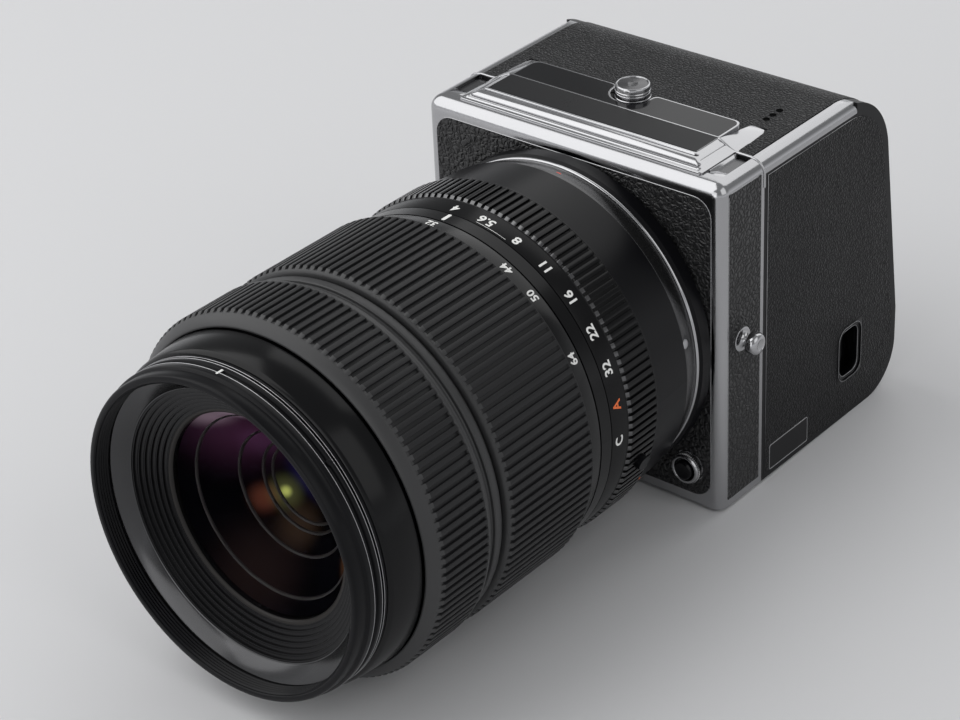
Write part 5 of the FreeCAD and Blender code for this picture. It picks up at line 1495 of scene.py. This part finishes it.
@dataclass
class DigitalBack:
    """Leather wrap, port, badge, microphone holes and rear trim of the digital back."""

    rail: float = 4.0
    top_radius: float = 20.5
    wrap_centre: Spot = (53.0, 70.3)
    wrap_end: float = 11.0
    wrap_steps: int = 16
    lean: float = 7.453
    port_y: float = 57.4
    port_z: float = 19.2

    def build(self) -> None:
        """Build each trim piece of the back."""
        self._wrap()
        self._port()
        self._badge()
        self._holes()
        self._skin_edges()

    def _wrap(self) -> None:
        """The leather that bends over the top rear edge down to the screen."""
        outer = arc(self.wrap_centre, self.top_radius + 0.2, 90, self.wrap_end, self.wrap_steps)
        inner = arc(self.wrap_centre, self.top_radius - 0.3, self.wrap_end, 90, self.wrap_steps)
        path = [(52.9, 91.0)] + outer + inner + [(52.9, 90.5)]
        half = SIDE - self.rail - 0.1
        wrap = plate("leather_wrap", [at(-half, y, z) for y, z in path],
                     Vector((2 * half * MM, 0, 0)), bevel=0.1, smooth=60.0)
        dress(wrap, FINE_LEATHER, "camera", "fine_leather")

    def _port_loop(self, wide: float, tall: float, x: float, corner: float, steps: int = 6
                   ) -> list[Vector]:
        """A rounded rectangle round the port's centre.

        Args:
            wide: Half its width.
            tall: Half its height.
            x: Its distance from the centre line.
            corner: Its corners' radius.
            steps: Faces in each corner.
        Returns:
            Its spots in order.
        """
        y, z = self.port_y, self.port_z
        spots = rounded((y - wide, z - tall), (y + wide, z + tall), corner, steps)
        return [at(x, *spot) for spot in spots]

    def _port(self) -> None:
        """The rounded port with its sloping bezel and the socket inside."""
        rings = [(5.45, 7.95, 41.1, 0.3), (5.55, 8.05, 45.72, 0.3), (5.45, 7.95, 45.74, 3.4),
                 (5.2, 7.7, 46.0, 3.2), (4.95, 7.45, 46.0, 3.0), (4.3, 6.8, 45.5, 2.7),
                 (4.15, 6.65, 45.3, 2.6), (4.05, 6.55, 44.6, 2.5), (4.0, 6.5, 41.1, 2.4)]
        pieces = [chain("port_loop", self._port_loop(*ring), closed=True) for ring in rings]
        deselect()
        port = joined(pieces, "port_bezel")
        edit(port)
        bpy.ops.mesh.bridge_edge_loops()
        close_up(port)
        dress(settle(port, 50.0), GLOSS_ENAMEL, "camera", "black_satin", "port_frame")
        # Satin chrome rings on the bezel's lips: painted highlights on its edges.
        for name, ring, radius in (("port_inner_edge", (4.22, 6.72, 45.42, 2.6), 0.1),
                                   ("port_outer_edge", (5.32, 7.82, 45.9, 3.3), 0.07)):
            edge = bead(name, self._port_loop(*ring), radius, closed=True, round_steps=2)
            dress(edge, SATIN_CHROME, "camera", "chrome_trim")
        tongue = plate("port_tongue", self._port_loop(0.5, 3.4, 36.0, 0.4, 3),
                       Vector((4.4 * MM, 0, 0)), bevel=0.08)
        dress(tongue, SATIN_CHROME, "camera", "matte_black")

    def _badge(self) -> None:
        """The thin bright frame of the bare black plate."""
        outline = rounded((20.9, 1.75), (38.1, 8.9), 0.5, 3)
        rim = bead("badge_rim", [at(45.62, y, z) for y, z in outline], 0.16, closed=True,
                   round_steps=2)
        dress(rim, SATIN_CHROME, "camera", "chrome_trim")

    def _holes(self) -> None:
        """Three microphone holes in the top, drawn as black discs that paint the shade inside them.
        """
        section = [(0.0, 90.8), (0.9, 90.8), (0.9, 91.05), (0.8, 91.09), (0.7, 91.04),
                   (0.0, 91.03)]
        for index, y in enumerate((36.5, 39.3, 42.3)):
            hole = lathe("microphone_%d" % index, section, HOLE_STEPS, at(33.0, y, 0),
                         Vector((0, 0, 1)))
            dress(hole, HOLE_SHADE_BLACK, "camera", "matte_black")

    def _skin_edges(self) -> None:
        """The thin light edge round the leather of each side: a satin chrome wire that paints the
        highlight on the shell's edge.
        """
        spots = [(19.1, 1.6)] + arc((66.8, 12.4), 10.8, 270, 360, 8) + [(77.6, 22.0)]
        spots += arc((54.9, 70.6), 16.0, self.lean, 90, 10) + [(19.1, 86.6)]
        for side in (1, -1):
            line = bead("skin_edge_%d" % (side + 1),
                        [at(side * 45.52, y, z) for y, z in spots], 0.1, closed=True,
                        round_steps=1)
            dress(line, SATIN_CHROME, "camera", "chrome_trim")


@dataclass
class Studio:
    """The floor, the lights and the camera."""

    focal: float = 105.1
    spot: Triple = (0.380897, -0.489, 0.393465)
    tilt: Triple = (59.2786, 2.3622, 39.2784)
    floor_size: float = 4.0
    rest_front: Spot = (-105.8, AXIS_Z - 46.8)
    rest_rear: Spot = (67.0, 0.0)

    def build(self) -> None:
        """Build the floor, the lights, the world and the camera."""
        self._floor()
        self._lights()
        self._world()
        self._camera()

    def _floor(self) -> None:
        """A pale floor that touches the lens and the back's rear edge."""
        rear, front = at(0, *self.rest_rear), at(0, *self.rest_front)
        slope = math.atan2(rear.z - front.z, rear.y - front.y)
        deselect()
        bpy.ops.mesh.primitive_plane_add(size=self.floor_size, location=front,
                                         rotation=(slope, 0, 0))
        floor = bpy.context.object
        floor.name = "studio_floor"
        floor.data.materials.append(PaleFloor("studio floor").material())

    def _area(self, name: str, place: Triple, size: float, power: float, aim: Vector) -> None:
        """A square soft light that faces a spot.

        Args:
            name: The light's name.
            place: Where it hangs, in metres.
            size: Its side in metres.
            power: Its power in watts.
            aim: The spot that it faces, in metres.
        """
        data = bpy.data.lights.new(name, "AREA")
        data.size, data.energy = size, power
        lamp = bpy.data.objects.new(name, data)
        bpy.context.collection.objects.link(lamp)
        lamp.location = place
        lamp.rotation_euler = (aim - Vector(place)).to_track_quat("-Z", "Y").to_euler()

    def _lights(self) -> None:
        """A broad key over the front left, a low panel ahead, a side light and one behind."""
        aim = at(0, -30, 45)
        self._area("key", (-0.62, -0.42, 0.72), 1.2, 7.5, aim)
        self._area("panel", (-0.1, -1.15, 0.3), 0.8, 2.6, at(0, -115, 45))
        self._area("side", (0.95, -0.1, 0.75), 0.9, 2.3, aim)
        self._area("rear", (-0.1, 0.85, 0.75), 1.1, 4.0, aim)

    def _world(self) -> None:
        """A pale backdrop, lighter at the horizon than overhead."""
        world = bpy.data.worlds.new("studio")
        bpy.context.scene.world = world
        world.use_nodes = True
        graph = Graph(world.node_tree)
        sky = graph.add("SeparateXYZ", {0: graph.add("TexCoord").outputs["Generated"]})
        ramp = graph.add("ValToRGB", {0: sky.outputs[2]})
        low, high = ramp.color_ramp.elements
        low.color, high.color = (0.8, 0.81, 0.83, 1.0), (0.34, 0.345, 0.35, 1.0)
        ramp.color_ramp.elements.new(0.3).color = (0.3, 0.305, 0.31, 1.0)
        graph.feed(world.node_tree.nodes["Background"], {0: ramp.outputs[0]})

    def _camera(self) -> None:
        """The camera at the photograph's angle."""
        data = bpy.data.cameras.new("camera")
        data.lens, data.sensor_width, data.clip_start = self.focal, 36.0, 0.01
        camera = bpy.data.objects.new("camera", data)
        bpy.context.collection.objects.link(camera)
        camera.location = self.spot
        camera.rotation_euler = [math.radians(angle) for angle in self.tilt]
        bpy.context.scene.camera = camera


def dress_nodes() -> None:
    """Give every CAD node its finish."""
    left = set(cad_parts)
    for finish, names in NODE_FINISHES.items():
        for name in names:
            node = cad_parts[name]
            node.data.materials.clear()
            node.data.materials.append(finish.material())
            left.discard(name)
    LOG.info("nodes without a finish: %s", sorted(left))


def main() -> None:
    """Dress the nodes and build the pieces."""
    bpy.context.scene.view_settings.view_transform = "Standard"
    dress_nodes()
    for assembly in (Roof(), BodyTrim(), DigitalBack(), Adapter(), TurningRings(), FrontGroup()):
        LOG.info("building %s", type(assembly).__name__)
        assembly.build()
    Studio().build()


if __name__ == "__main__":
    main()
